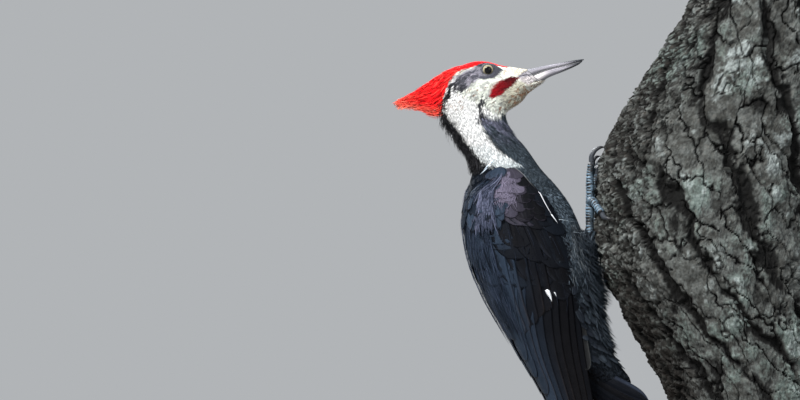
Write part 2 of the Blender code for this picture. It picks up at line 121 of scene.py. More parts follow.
def turns(count: int) -> Array:
    """Evenly spaced angles of a full turn."""
    return np.linspace(0, TURN, count, endpoint=False)


def grid(a: Array, b: Array) -> list[Array]:
    """Both parameters of a surface over a grid, a down its rows and b along them."""
    return np.meshgrid(a, b, indexing="ij")


def between(low: tuple, high: tuple, pairs: Array) -> tuple[Array, Array]:
    """Places between two corners, for pairs in the unit square."""
    return (low[0] + (high[0] - low[0]) * pairs[:, 0],
            low[1] + (high[1] - low[1]) * pairs[:, 1])


def spread(count: int, start: int = 0) -> Array:
    """Evenly scattered pairs in the unit square, from a two-number golden sequence."""
    ratio = 1.32471795724
    return (0.5 + (np.arange(start, start + count)[:, None] + 1) / (ratio, ratio ** 2)) % 1.0


def rgb(red: float, green: float, blue: float) -> Array:
    """Linear colour from a display colour of 0 to 255 for each channel."""
    c = np.array([red, green, blue]) / 255.0
    return np.where(c <= 0.04045, c / 12.92, ((c + 0.055) / 1.055) ** 2.4)


def blend(a: Array, b: Array, share: Array) -> Array:
    """Colours between a and b, by a share from 0 to 1 for each."""
    return a + (b - a) * np.asarray(share)[..., None]


def layered(colour: Array, *layers: tuple[Array, Array]) -> Array:
    """Lay further colours over a ground in order.

    Args:
        colour: the ground.
        layers: each further colour with its share from 0 to 1.

    Returns:
        The outcome.
    """
    for paint, share in layers:
        colour = blend(colour, paint, share)
    return colour


class Grain:
    """Repeatable smooth noise: seeded values on a lattice, blended between its corners."""

    CELLS = 32

    def __init__(self, seed: int) -> None:
        """Fill the lattice from a seed."""
        self.values = np.random.default_rng(seed).uniform(-1, 1, (self.CELLS,) * 3)

    def at(self, points: Array, size: float) -> Array:
        """Noise at points, from the eight corners round each, weighted by nearness.

        Args:
            points: places, as (..., 3).
            size: size of its features.

        Returns:
            Values from -1 to 1.
        """
        q = points / size
        low = np.floor(q).astype(int)
        f = q - low
        f = f * f * (3 - 2 * f)
        total = 0.0
        for corner in np.ndindex(2, 2, 2):
            x, y, z = ((low[..., k] + corner[k]) % self.CELLS for k in range(3))
            weight = np.prod([f[..., k] if corner[k] else 1 - f[..., k] for k in range(3)], axis=0)
            total = total + weight * self.values[x, y, z]
        return total

    def layers(self, points: Array, size: float, count: int, gain: float = 0.5) -> Array:
        """Sum of noise at halving sizes, each weaker than the last by the gain."""
        return sum(gain ** k * self.at(points + 7.3 * k, size / 2 ** k) for k in range(count))


GRAIN = Grain(7)


# ------------------------------------------------------------------ meshes
def write_mesh(name: str, surface: Surface, coat: "Coat", colours: Array,
               maps: dict[str, Array] | None = None,
               sharp: float | None = None) -> bpy.types.Object:
    """Write a surface in millimetres as one smooth-shaded piece on the root body.

    Args:
        name: the piece's name.
        surface: (n, 3) points, and (m, 3) point numbers, counter-clockwise from outside.
        coat: its finish.
        colours: linear colours, (n, 3) or one for all, kept as the attribute "plumage".
        maps: UV maps by name, as (n, 2) values for each point.
        sharp: edges bent more than this many degrees are shaded sharp.

    Returns:
        The new object.
    """
    points, triangles = surface
    mesh = bpy.data.meshes.new(name)
    mesh.vertices.add(len(points))
    mesh.vertices.foreach_set("co", (points * MM).astype(np.float32).ravel())
    mesh.loops.add(triangles.size)
    mesh.loops.foreach_set("vertex_index", triangles.astype(np.int32).ravel())
    mesh.polygons.add(len(triangles))
    mesh.polygons.foreach_set("loop_start", np.arange(0, triangles.size, 3, dtype=np.int32))
    mesh.update(calc_edges=True)
    mesh.shade_smooth()
    for key, uv in (maps or {}).items():
        layer = mesh.uv_layers.new(name=key)
        layer.uv.foreach_set("vector", uv[triangles.ravel()].astype(np.float32).ravel())
    layer = mesh.color_attributes.new("plumage", "FLOAT_COLOR", "POINT")
    opaque = np.ones((len(points), 4), np.float32)
    opaque[:, :3] = np.clip(colours, 0, 1)
    layer.data.foreach_set("color", opaque.ravel())
    if sharp is not None:
        mesh.set_sharp_from_angle(angle=math.radians(sharp))
    mesh.materials.append(coat.material())
    piece = bpy.data.objects.new(name, mesh)
    bpy.context.scene.collection.objects.link(piece)
    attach(piece, ROOT)
    log.info("%s: %d triangles", name, len(triangles))
    return piece


def grid_triangles(rows: int, columns: int, closed: bool) -> Array:
    """Triangles of a grid numbered row by row, two for each square.

    Args:
        rows, columns: points down and along the grid.
        closed: whether its last column joins its first.

    Returns:
        (n, 3) point numbers.
    """
    r, c = grid(np.arange(rows - 1), np.arange(columns if closed else columns - 1))
    a, b = r * columns + c, r * columns + (c + 1) % columns
    return np.stack([a, b, b + columns, a, b + columns, a + columns], -1).reshape(-1, 3)


def outward(points: Array, triangles: Array) -> Surface:
    """Turn a closed surface's triangles so that it encloses a positive volume.

    Args:
        points, triangles: the surface.

    Returns:
        It, with its triangles counter-clockwise from outside.
    """
    a, b, c = (points[triangles[:, k]] for k in range(3))
    volume = np.einsum("ij,ij->i", a, np.cross(b, c)).sum()
    return points, triangles if volume > 0 else triangles[:, ::-1]


def shell(rings: Array) -> Surface:
    """Closed surface through rings of points, with a fan over each end.

    Args:
        rings: (rows, sides, 3) points.

    Returns:
        Points, with the two fans' middles last, and triangles that face outwards.
    """
    rows, sides = rings.shape[:2]
    points = np.vstack([rings.reshape(-1, 3), rings[0].mean(0), rings[-1].mean(0)])
    c = np.arange(sides)
    first, last = rows * sides, (rows - 1) * sides
    head = np.stack([np.full(sides, first), (c + 1) % sides, c], 1)
    tail = np.stack([np.full(sides, first + 1), last + c, last + (c + 1) % sides], 1)
    return outward(points, np.vstack([grid_triangles(rows, sides, True), head, tail]))


def poled(values: Array, first: float = 0.0, last: float = 0.0) -> Array:
    """Values over a shell's rings, with those of its two fans' middles."""
    return np.concatenate([values.ravel(), [first, last]])


def slab(outer: Array, inner: Array) -> Surface:
    """Closed sheet between two grids of points, with a wall round its rim.

    Args:
        outer, inner: (rows, columns, 3) points of its two faces.

    Returns:
        Points, and triangles that face outwards.
    """
    rows, columns = outer.shape[:2]
    count = rows * columns
    face = grid_triangles(rows, columns, False)
    index = np.arange(count).reshape(rows, columns)
    rim = np.concatenate([index[0], index[1:, -1], index[-1, -2::-1], index[-2:0:-1, 0]])
    ahead = np.roll(rim, -1)
    wall = np.vstack([np.stack([rim, rim + count, ahead + count], 1),
                      np.stack([rim, ahead + count, ahead], 1)])
    points = np.vstack([outer.reshape(-1, 3), inner.reshape(-1, 3)])
    return outward(points, np.vstack([face, face[:, ::-1] + count, wall]))


def joined(parts: list[Surface]) -> Surface:
    """Put several surfaces into one list of points and triangles.

    Args:
        parts: the surfaces.

    Returns:
        Them as one surface.
    """
    starts = np.cumsum([0] + [len(points) for points, _ in parts])
    return (np.vstack([points for points, _ in parts]),
            np.vstack([faces + start for (_, faces), start in zip(parts, starts)]))


# ------------------------------------------------------------------ forms of the bird
class Side(Enum):
    """The bird's sides; the right one faces -Y."""

    RIGHT = 1
    LEFT = -1


AXIS_Y = -3.0
ROLL = math.radians(18)
ROLL_COS, ROLL_SIN = math.cos(ROLL), math.sin(ROLL)


class Form:
    """A surface of two parameters that feathers lie on: lengthwise a, and across b.

    It has a lowest and highest a, small steps in a and b for slopes, and the sign that turns
    the cross product of its slopes outwards.
    """

    limits: ClassVar[tuple[float, float]] = (0.0, 1.0)
    steps: ClassVar[tuple[float, float]] = (0.02, 0.01)
    facing: ClassVar[float] = 1.0

    def surface(self, a: Array, b: Array, inset: Array | float = 0.0) -> Array:
        """Points of its surface, drawn in by an inset."""
        raise NotImplementedError

    def slopes(self, a: Array, b: Array) -> tuple[Array, Array]:
        """How the surface runs on at places of it.

        Args:
            a, b: the places.

        Returns:
            Its differences over two steps in a, and over two in b.
        """
        step_a, step_b = self.steps
        return (self.surface(a + step_a, b) - self.surface(a - step_a, b),
                self.surface(a, b + step_b) - self.surface(a, b - step_b))

    def normal(self, a: Array, b: Array) -> Array:
        """Outward unit normals, from the cross product of the slopes."""
        return unit(np.cross(*self.slopes(a, b))) * self.facing

    def scale(self, a: Array, b: Array) -> list[Array]:
        """Millimetres of surface for each unit of a and of b."""
        return [np.linalg.norm(slope, axis=-1) / (2 * step)
                for slope, step in zip(self.slopes(a, b), self.steps)]

    def reach(self, a: Array, b: Array) -> tuple[Array, Array]:
        """Points and normals, carried straight on beyond the form's two ends.

        Args:
            a, b: places, where a may lie outside the limits.

        Returns:
            The points and the unit normals.
        """
        step = self.steps[0]
        inside = np.clip(a, self.limits[0] + step, self.limits[1] - step)
        slope = (self.surface(inside + step, b) - self.surface(inside - step, b)) / (2 * step)
        return self.surface(inside, b) + (a - inside)[..., None] * slope, self.normal(inside, b)


@dataclass(frozen=True)
class BodyForm(Form):
    """Head, neck and torso as one loft: a is the station, b the angle from the back line.

    Each station has its back line x, z, its front line x, z and the width across. Between
    them the sections are superellipses, squarer at the head, and the neck takes up the roll.
    """

    limits: ClassVar[tuple[float, float]] = (0.0, 21.0)
    stations: tuple = (
        (-147.0, 424.5, -135.5, 413.5, 17.0),
        (-157.0, 425.8, -145.0, 406.5, 22.0),
        (-168.0, 427.6, -152.0, 398.5, 26.5),
        (-179.0, 430.5, -159.0, 393.8, 30.5),
        (-191.0, 430.2, -163.5, 390.5, 34.0),
        (-203.0, 425.0, -164.5, 387.5, 36.0),
        (-213.5, 413.5, -164.5, 384.5, 37.0),
        (-216.5, 394.0, -163.0, 380.0, 37.0),
        (-209.5, 376.0, -159.0, 373.0, 37.5),
        (-200.5, 360.5, -147.5, 361.0, 40.0),
        (-191.5, 344.0, -134.5, 343.0, 47.0),
        (-191.5, 329.5, -123.0, 330.5, 58.0),
        (-195.0, 312.0, -110.5, 314.0, 70.0),
        (-194.5, 291.0, -101.0, 293.0, 77.0),
        (-190.0, 268.5, -91.0, 266.0, 78.0),
        (-179.0, 248.0, -86.0, 244.0, 73.0),
        (-162.0, 230.0, -85.5, 229.0, 65.0),
        (-143.0, 214.0, -82.0, 212.5, 54.0),
        (-124.0, 198.5, -76.5, 195.0, 42.0),
        (-108.0, 184.5, -69.0, 181.5, 32.0),
        (-92.0, 170.5, -61.5, 171.0, 22.0),
        (-80.0, 161.0, -60.0, 162.0, 9.0),
    )
    roll_from: float = 6.0
    roll_to: float = 11.0
    head_square: float = 2.55
    body_square: float = 2.1

    def section(self, s: Array) -> tuple[Array, ...]:
        """The cut across the body at a station.

        Args:
            s: stations.

        Returns:
            Its middle, the directions to the back and to the right side, half its depth and
            width, and its power as a superellipse.
        """
        row = spline(self.stations, s)
        up = (row[..., 0:2] - row[..., 2:4]) / 2
        middle = (row[..., 0:2] + row[..., 2:4]) / 2
        depth = np.linalg.norm(up, axis=-1)
        up = up / depth[..., None]
        roll = ROLL * rise(s, self.roll_from, self.roll_to - self.roll_from)
        power = self.head_square + (self.body_square - self.head_square) * rise(s, 3, 5)
        cos, sin = np.cos(roll), np.sin(roll)
        centre = np.stack([middle[..., 0], np.full_like(roll, AXIS_Y), middle[..., 1]], -1)
        back = np.stack([up[..., 0] * cos, -sin, up[..., 1] * cos], -1)
        side = np.stack([-up[..., 0] * sin, -cos, -up[..., 1] * sin], -1)
        return centre, back, side, depth, row[..., 4] / 2, power

    def surface(self, a: Array, b: Array, inset: Array | float = 0.0) -> Array:
        """Points on the superellipse of station a, at the angle b.

        Args:
            a, b: stations and angles.
            inset: how far the section is drawn in.

        Returns:
            The points.
        """
        centre, back, side, depth, width, power = self.section(np.asarray(a, float))
        cos, sin = superellipse(b, power)
        return (centre + (cos * (depth - inset))[..., None] * back
                + (sin * (width - inset))[..., None] * side)


@dataclass(frozen=True)
class WingForm(Form):
    """Outer face of a folded wing: a is the height and b the share from inner to leading edge.

    Rows are level cuts: height, middle x, half depth, half width and the angles round the
    body, in degrees, of the inner and the leading edge.
    """

    limits: ClassVar[tuple[float, float]] = (117.5, 347.0)
    steps: ClassVar[tuple[float, float]] = (0.5, 0.01)
    side: Side = Side.RIGHT
    rows: tuple = (
        (347.5, -164.0, 24.0, 22.0, 55.0, 86.0),
        (338.0, -161.0, 30.0, 30.0, 39.0, 98.0),
        (322.0, -156.5, 40.0, 37.0, 10.0, 105.0),
        (286.0, -148.5, 50.5, 42.5, 3.0, 115.0),
        (246.0, -138.0, 49.0, 41.0, 3.0, 118.0),
        (198.0, -118.5, 42.0, 31.0, 2.0, 106.0),
        (150.0, -101.0, 31.0, 20.5, 2.0, 97.0),
        (126.0, -93.0, 20.0, 15.0, 3.0, 92.0),
        (117.0, -90.0, 10.0, 11.0, 10.0, 80.0),
    )

    @property
    def facing(self) -> float:
        """Up and forwards turn opposite ways on the two sides."""
        return -float(self.side.value)

    def cut(self, height: Array) -> Array:
        """Rows at any height, with their columns as the last axis."""
        heights = [row[0] for row in self.rows[::-1]]
        return spline(self.rows, len(heights) - 1 - np.interp(height, heights, range(len(heights))))

    def surface(self, a: Array, b: Array, inset: Array | float = 0.0) -> Array:
        """Points on the ellipse of the cut at height a, at a share b between its edges.

        Args:
            a, b: heights and shares.
            inset: how far the cut is drawn in.

        Returns:
            The points.
        """
        row = self.cut(a)
        angle = np.radians(row[..., 4] + (row[..., 5] - row[..., 4]) * b)
        d = (row[..., 2] - inset) * np.cos(angle)
        w = (row[..., 3] - inset) * np.sin(angle) * self.side.value
        x = row[..., 1] - d * ROLL_COS + w * ROLL_SIN
        return np.stack([x, AXIS_Y - d * ROLL_SIN - w * ROLL_COS, a + 0 * x], -1)

    def covers(self, points: Array) -> Array:
        """Where the wing lies over points of the body, a little inside its edges.

        Args:
            points: (..., 3) points.

        Returns:
            Truth for each point.
        """
        z, margin = points[..., 2], 9
        row = self.cut(z)
        x, y = points[..., 0] - row[..., 1], points[..., 1] - AXIS_Y
        d = -(x * ROLL_COS + y * ROLL_SIN) / row[..., 2]
        w = (x * ROLL_SIN - y * ROLL_COS) / row[..., 3] * self.side.value
        angle = np.degrees(np.arctan2(w, d))
        inside = (angle > row[..., 4] + margin) & (angle < row[..., 5] - margin)
        return inside & (z > 125) & (z < 336)


@dataclass(frozen=True)
class TailForm(Form):
    """Back face of the tail: a runs from root to tip and b from -1 to 1 across.

    Rows give the ridge x, z, the half width and the droop of the outer feathers.
    """

    rows: tuple = (
        (-130.0, 202.0, 14.0, 12.0),
        (-106.0, 166.5, 21.0, 24.0),
        (-72.0, 140.0, 29.0, 28.0),
        (-34.0, 127.5, 27.0, 15.0),
    )

    def surface(self, a: Array, b: Array, inset: Array | float = 0.0) -> Array:
        """Points a along the ridge and b across, where the arch drops by a power of b.

        Args:
            a, b: places along and across.
            inset: how far they are moved in from the back.

        Returns:
            The points.
        """
        t = np.asarray(a, float) * (len(self.rows) - 1)
        row = spline(self.rows, t)
        run = unit(spline(self.rows, t + 0.02)[..., 0:2] - spline(self.rows, t - 0.02)[..., 0:2])
        drop = row[..., 3] * np.abs(b) ** 1.5 + inset
        aside = row[..., 2] * b
        x = row[..., 0] - run[..., 1] * drop * ROLL_COS + aside * ROLL_SIN
        z = row[..., 1] + run[..., 0] * drop * ROLL_COS
        return np.stack([x, AXIS_Y + drop * ROLL_SIN - aside * ROLL_COS, z], -1)


@dataclass(frozen=True)
class LineForm(Form):
    """A form between a top and an under line, such as the crest or half of the bill.

    Rows give the top x, z, the under x, z and the width; a runs along the rows from 0 to 1
    and b is the angle from the top line. Each half of the section has its own roundness.
    """

    rows: tuple = ()
    top_power: float = 2.0
    under_power: float = 2.0

    def surface(self, a: Array, b: Array, inset: Array | float = 0.0) -> Array:
        """Points on the superellipse a along the rows, at the angle b.

        Args:
            a, b: places along and angles round.
            inset: how far the section is drawn in.

        Returns:
            The points.
        """
        row = spline(self.rows, np.asarray(a, float) * (len(self.rows) - 1))
        half = (row[..., 0:2] - row[..., 2:4]) / 2
        size = np.linalg.norm(half, axis=-1)
        keep = np.maximum(size - inset, 0.2) / np.maximum(size, 1e-6)
        cos, sin = superellipse(b, np.where(np.cos(b) > 0, self.top_power, self.under_power))
        middle = (row[..., 0:2] + row[..., 2:4]) / 2 + half * (cos * keep)[..., None]
        y = AXIS_Y - np.maximum(row[..., 4] / 2 - inset, 0.2) * sin
        return np.stack([middle[..., 0], y + 0 * middle[..., 0], middle[..., 1]], -1)


@dataclass(frozen=True)
class TubeForm(Form):
    """A round form along a path: a runs from 0 to 1 along it and b is the angle round it."""

    facing: ClassVar[float] = -1.0
    path: tuple = ()
    radii: tuple = ()

    def surface(self, a: Array, b: Array, inset: Array | float = 0.0) -> Array:
        """Points on the circle about the path's point at a, at the angle b.

        Args:
            a, b: places along and angles round.
            inset: how far the circle is drawn in.

        Returns:
            The points.
        """
        t = np.asarray(a, float) * (len(self.path) - 1)
        run = unit(spline(self.path, t + 0.02) - spline(self.path, t - 0.02))
        side = unit(np.cross(run, (0.31, 0.86, 0.41)))
        over = np.cross(run, side)
        radius = (np.interp(a, np.linspace(0, 1, len(self.radii)), self.radii) - inset)[..., None]
        return spline(self.path, t) + radius * (
            np.cos(b)[..., None] * side + np.sin(b)[..., None] * over)


BODY = BodyForm()
CREST = LineForm(rows=(
    (-196.0, 429.0, -190.0, 416.0, 20.0),
    (-209.0, 424.5, -201.0, 405.0, 21.0),
    (-220.0, 418.5, -209.0, 394.5, 17.0),
    (-230.0, 411.5, -220.5, 387.5, 12.0),
    (-241.0, 404.5, -233.0, 393.0, 8.0),
    (-250.0, 400.0, -245.0, 394.5, 5.0),
    (-255.5, 396.5, -254.0, 393.5, 2.0),
), top_power=1.7, under_power=1.9)
BILL_UPPER = LineForm(rows=(
    (-145.8, 424.6, -141.3, 419.9, 13.5),
    (-131.0, 427.6, -129.5, 424.4, 10.8),
    (-116.5, 430.4, -115.5, 427.7, 8.0),
    (-105.0, 432.4, -104.5, 430.3, 4.6),
    (-99.5, 433.0, -99.3, 432.1, 1.8),
), top_power=1.45, under_power=2.8)
BILL_LOWER = LineForm(rows=(
    (-141.0, 419.5, -134.9, 413.9, 12.8),
    (-129.5, 424.0, -126.5, 418.5, 10.0),
    (-115.5, 427.3, -114.0, 423.5, 7.2),
    (-105.0, 429.9, -104.5, 427.9, 4.0),
    (-100.8, 431.6, -100.6, 430.8, 1.6),
), top_power=2.8, under_power=1.6)


def under_wing(points: Array) -> Array:
    """Where points of the body are covered by a folded wing."""
    return WingForm(Side.RIGHT).covers(points) | WingForm(Side.LEFT).covers(points)


# ------------------------------------------------------------------ the trunk and the legs' places
@dataclass(frozen=True)
class TrunkForm(Form):
    """The trunk before its bark: a is the height and b the angle round it.

    Rows give the height, the left and right edge x and the half depth in y.
    """

    facing: ClassVar[float] = -1.0
    rows: tuple = (
        (55.0, 6.0, 125.0, 66.0),
        (104.0, -12.0, 120.0, 68.0),
        (153.0, -30.5, 114.0, 71.0),
        (191.0, -48.5, 110.0, 75.0),
        (233.0, -72.0, 107.0, 80.0),
        (262.0, -86.0, 106.0, 83.0),
        (300.0, -89.8, 107.0, 84.0),
        (350.0, -85.8, 110.0, 81.0),
        (400.0, -61.0, 114.0, 75.0),
        (440.0, -36.0, 117.0, 69.0),
        (492.0, -4.0, 119.0, 63.0),
    )

    def edges(self, z: Array) -> Array:
        """The trunk's outline at heights.

        Args:
            z: the heights.

        Returns:
            Left edge, right edge and half depth, as the first axis.
        """
        heights = [row[0] for row in self.rows]
        rows = spline(self.rows, np.interp(z, heights, range(len(heights))))
        return np.moveaxis(rows[..., 1:], -1, 0)

    def surface(self, a: Array, b: Array, inset: Array | float = 0.0) -> Array:
        """Points on the ellipse at height a, at the angle b.

        Args:
            a, b: heights and angles.
            inset: how far the ellipse is drawn in.

        Returns:
            The points.
        """
        left, right, depth = self.edges(a)
        x = (left + right) / 2 + ((right - left) / 2 - inset) * np.cos(b)
        return np.stack([x, (depth - inset) * np.sin(b), a + 0 * x], -1)

    def side_x(self, y: float, z: float) -> float:
        """The x of the trunk's left side at a depth y and height z."""
        left, right, depth = self.edges(np.array(z))
        return (left + right) / 2 - (right - left) / 2 * math.sqrt(max(0.0, 1 - (y / depth) ** 2))


TRUNK = TrunkForm()
STANCE, GRIP_Y, FOOT_DROP = 22.0, 12.0, 7.0
HEEL_Z, KNUCKLE_Z = 288.0, 316.5
TARSUS_RADIUS, TOE_RADIUS, CLAW_RADIUS = 2.9, 2.8, 2.0
# Toes from the hind toe: joints as along, out and height outwards from the foot's middle,
# and then the claw's points.
TOES = {
    1: (((-1.0, 5.0, 314.0), (-5.0, 4.6, 309.0), (-8.5, 3.9, 303.0)),
        ((-9.0, 3.8, 301.6), (-10.0, 3.4, 298.5), (-10.8, 0.9, 296.0))),
    2: (((-1.5, 5.0, 315.0), (-5.0, 5.2, 326.0), (-6.5, 5.6, 336.0), (-7.0, 4.8, 344.0)),
        ((-7.0, 5.0, 345.6), (-7.2, 6.0, 349.5), (-7.4, 4.4, 352.5), (-7.5, 0.9, 353.5))),
    3: (((0.0, 5.2, 315.0), (0.5, 5.4, 326.0), (0.5, 6.9, 337.0), (0.5, 7.6, 346.8)),
        ((0.5, 7.9, 348.6), (0.5, 9.3, 353.5), (0.5, 8.0, 358.3), (0.5, 4.4, 360.6),
         (0.5, 1.0, 360.4))),
    4: (((1.0, 5.0, 315.5), (8.0, 5.4, 317.0), (16.0, 4.9, 313.0), (23.0, 4.0, 307.0)),
        ((24.3, 4.0, 305.9), (28.0, 4.8, 303.6), (31.5, 3.8, 302.4), (33.5, 1.0, 302.0))),
}


def leg_point(along: float, out: float, height: float, side: Side) -> Array:
    """A point of a leg, beside the bark.

    Args:
        along: how far outwards along the bark from the middle of the foot.
        out: how far it stands out from the bark.
        height: its height, for the right foot; the left one is lower.
        side: the bird's side.

    Returns:
        The point.
    """
    y = GRIP_Y - side.value * (STANCE + along)
    z = height - (FOOT_DROP if side is Side.LEFT else 0.0)
    return np.array([TRUNK.side_x(y, z) - out, y, z])


def tube(points: list[Array], count: int, radii: Array | tuple) -> TubeForm:
    """A tube along a curve through a few points, itself kept as a number of points."""
    path = spline(points, np.linspace(0, len(points) - 1, count))
    return TubeForm(tuple(map(tuple, path)), tuple(radii))


def thigh_form(side: Side) -> TubeForm:
    """The feathered thigh, from inside the belly down to the heel.

    Args:
        side: the bird's side.

    Returns:
        The form.
    """
    points = []
    for s, out, across in ((15.3, 20.0, 13.0), (14.1, 36.0, 17.0)):
        centre, back, right = BODY.section(np.array(s))[:3]
        points.append(centre - out * back + side.value * across * right)
    points.append(leg_point(-1.0, 5.2, HEEL_Z + 3.0, side))
    return tube(points, 8, (18.0, 16.4, 14.9, 13.2, 11.0, 9.0, 7.0, 5.2))


# ------------------------------------------------------------------ markings
CRIMSON, CRIMSON_DEEP, CREST_TIP = rgb(238, 22, 30), rgb(176, 6, 20), rgb(252, 146, 120)
WHITE, WHITE_SHADE, CREAM = rgb(250, 251, 252), rgb(220, 230, 234), rgb(236, 230, 216)
FACE_WHITE, FACE_GREY = rgb(232, 236, 228), rgb(138, 140, 142)
NAPE, BRISTLE = rgb(20, 20, 25), rgb(140, 98, 70)
SLATE, SLATE_PALE = rgb(56, 66, 75), rgb(98, 112, 125)
# The blue sheen below is painted sheen: the blue of a sky light on the back and on the wings' inner
# parts.
BLUE_BLACK, PAINTED_BLUE_SHEEN, BROWN_BLACK = rgb(13, 18, 26), rgb(50, 63, 80), rgb(11, 10, 11)
LILAC, LILAC_PALE = rgb(88, 84, 100), rgb(136, 138, 162)
EYE_PATCH, EAR_LILAC = rgb(82, 83, 93), rgb(160, 157, 170)
MALAR, MALAR_BRIGHT = rgb(72, 2, 10), rgb(146, 6, 22)
HORN, HORN_PALE, HORN_LINE = rgb(166, 163, 172), rgb(206, 200, 202), rgb(46, 48, 58)


@dataclass(frozen=True)
class Band:
    """A marking between two edges, each an angle from the back line against the station.

    Edges are tables of station and angle in degrees. The mask is the product of a soft step
    over each edge, and is nothing beyond the tables' ends.
    """

    upper: tuple
    lower: tuple
    soft: float = 2.5
    end_soft: float = 0.12

    def mask(self, s: Array, angle: Array) -> Array:
        """How far the marking covers each place.

        Args:
            s, angle: stations, and angles in degrees.

        Returns:
            Shares from 0 to 1.
        """
        first = max(self.upper[0][0], self.lower[0][0])
        last = min(self.upper[-1][0], self.lower[-1][0])
        sides = (edge(angle, table(s, self.upper), self.soft)
                 * edge(table(s, self.lower), angle, self.soft))
        return sides * (edge(s, first, self.end_soft) * edge(last, s, self.end_soft))


CROWN = Band(upper=((0.9, -30), (6.5, -30)), lower=(
    (0.9, 0), (1.1, 15), (1.46, 25), (2.06, 23), (2.82, 24), (3.74, 33.5), (4.34, 35.5),
    (5.28, 22), (5.7, 22), (6.04, 15), (6.5, 12)))
PATCH = Band(upper=((1.9, 46), (2.4, 15), (3.18, 19), (3.84, 33), (4.4, 62)),
             lower=((1.9, 47), (2.4, 66), (3.04, 79), (3.92, 79), (4.4, 66)))
EAR_STRIPE = Band(
    upper=((3.5, 50), (3.64, 38), (4.29, 43), (5.14, 37), (5.67, 33), (6.14, 30), (7.0, 16)),
    lower=((3.5, 77), (4.46, 74), (5.25, 73), (5.83, 67), (6.08, 57), (6.46, 43), (7.0, 32)),
    soft=6)
MOUSTACHE = Band(upper=((1.0, 80), (1.66, 75), (2.67, 85), (3.85, 94), (4.5, 102)),
                 lower=((1.0, 86), (1.58, 93), (2.17, 98), (3.21, 110), (4.17, 111),
                        (4.5, 107)), soft=4)
JAW_STREAK = Band(upper=((4.3, 97), (5.72, 95), (6.78, 88), (7.4, 90)),
                  lower=((4.3, 106), (5.72, 109), (6.3, 128), (7.4, 140)), soft=10)
NECK_STRIPE = Band(
    upper=((6.0, 26), (6.9, 18), (7.28, 25), (7.69, 31), (8.15, 36), (9.52, 40), (10.2, 44)),
    lower=((6.0, 150), (6.5, 118), (6.9, 98), (7.47, 94), (8.48, 88), (9.16, 87), (9.37, 94),
           (9.74, 107), (9.9, 88), (10.0, 60), (10.2, 44)), soft=6)
SHOULDER_PATCH = Band(upper=((9.9, 58), (11.26, 40), (12.4, 50)),
                      lower=((9.9, 60), (10.74, 90), (12.4, 78)), soft=12)
# Stations at which the throat, the cream forehead and the bill's bare base end, by angle.
THROAT_END = ((96, 6.9), (118.5, 6.76), (146.5, 5.9), (180, 4.3))
CREAM_END = ((0, 0.88), (16.5, 1.66), (64, 1.74), (71, 1.24), (79.5, 0.32), (100, 0.0))
HORN_END = ((22, -0.2), (58, 0.42), (76, 1.0), (94, 1.0), (118, 0.8), (132, 0.1), (180, -0.3))


def horn_share(s: Array, angle: Array) -> Array:
    """How far a place at the head's front is covered by the bill's bare base, from 0 to 1."""
    return edge(table(angle, HORN_END), s, 0.14)


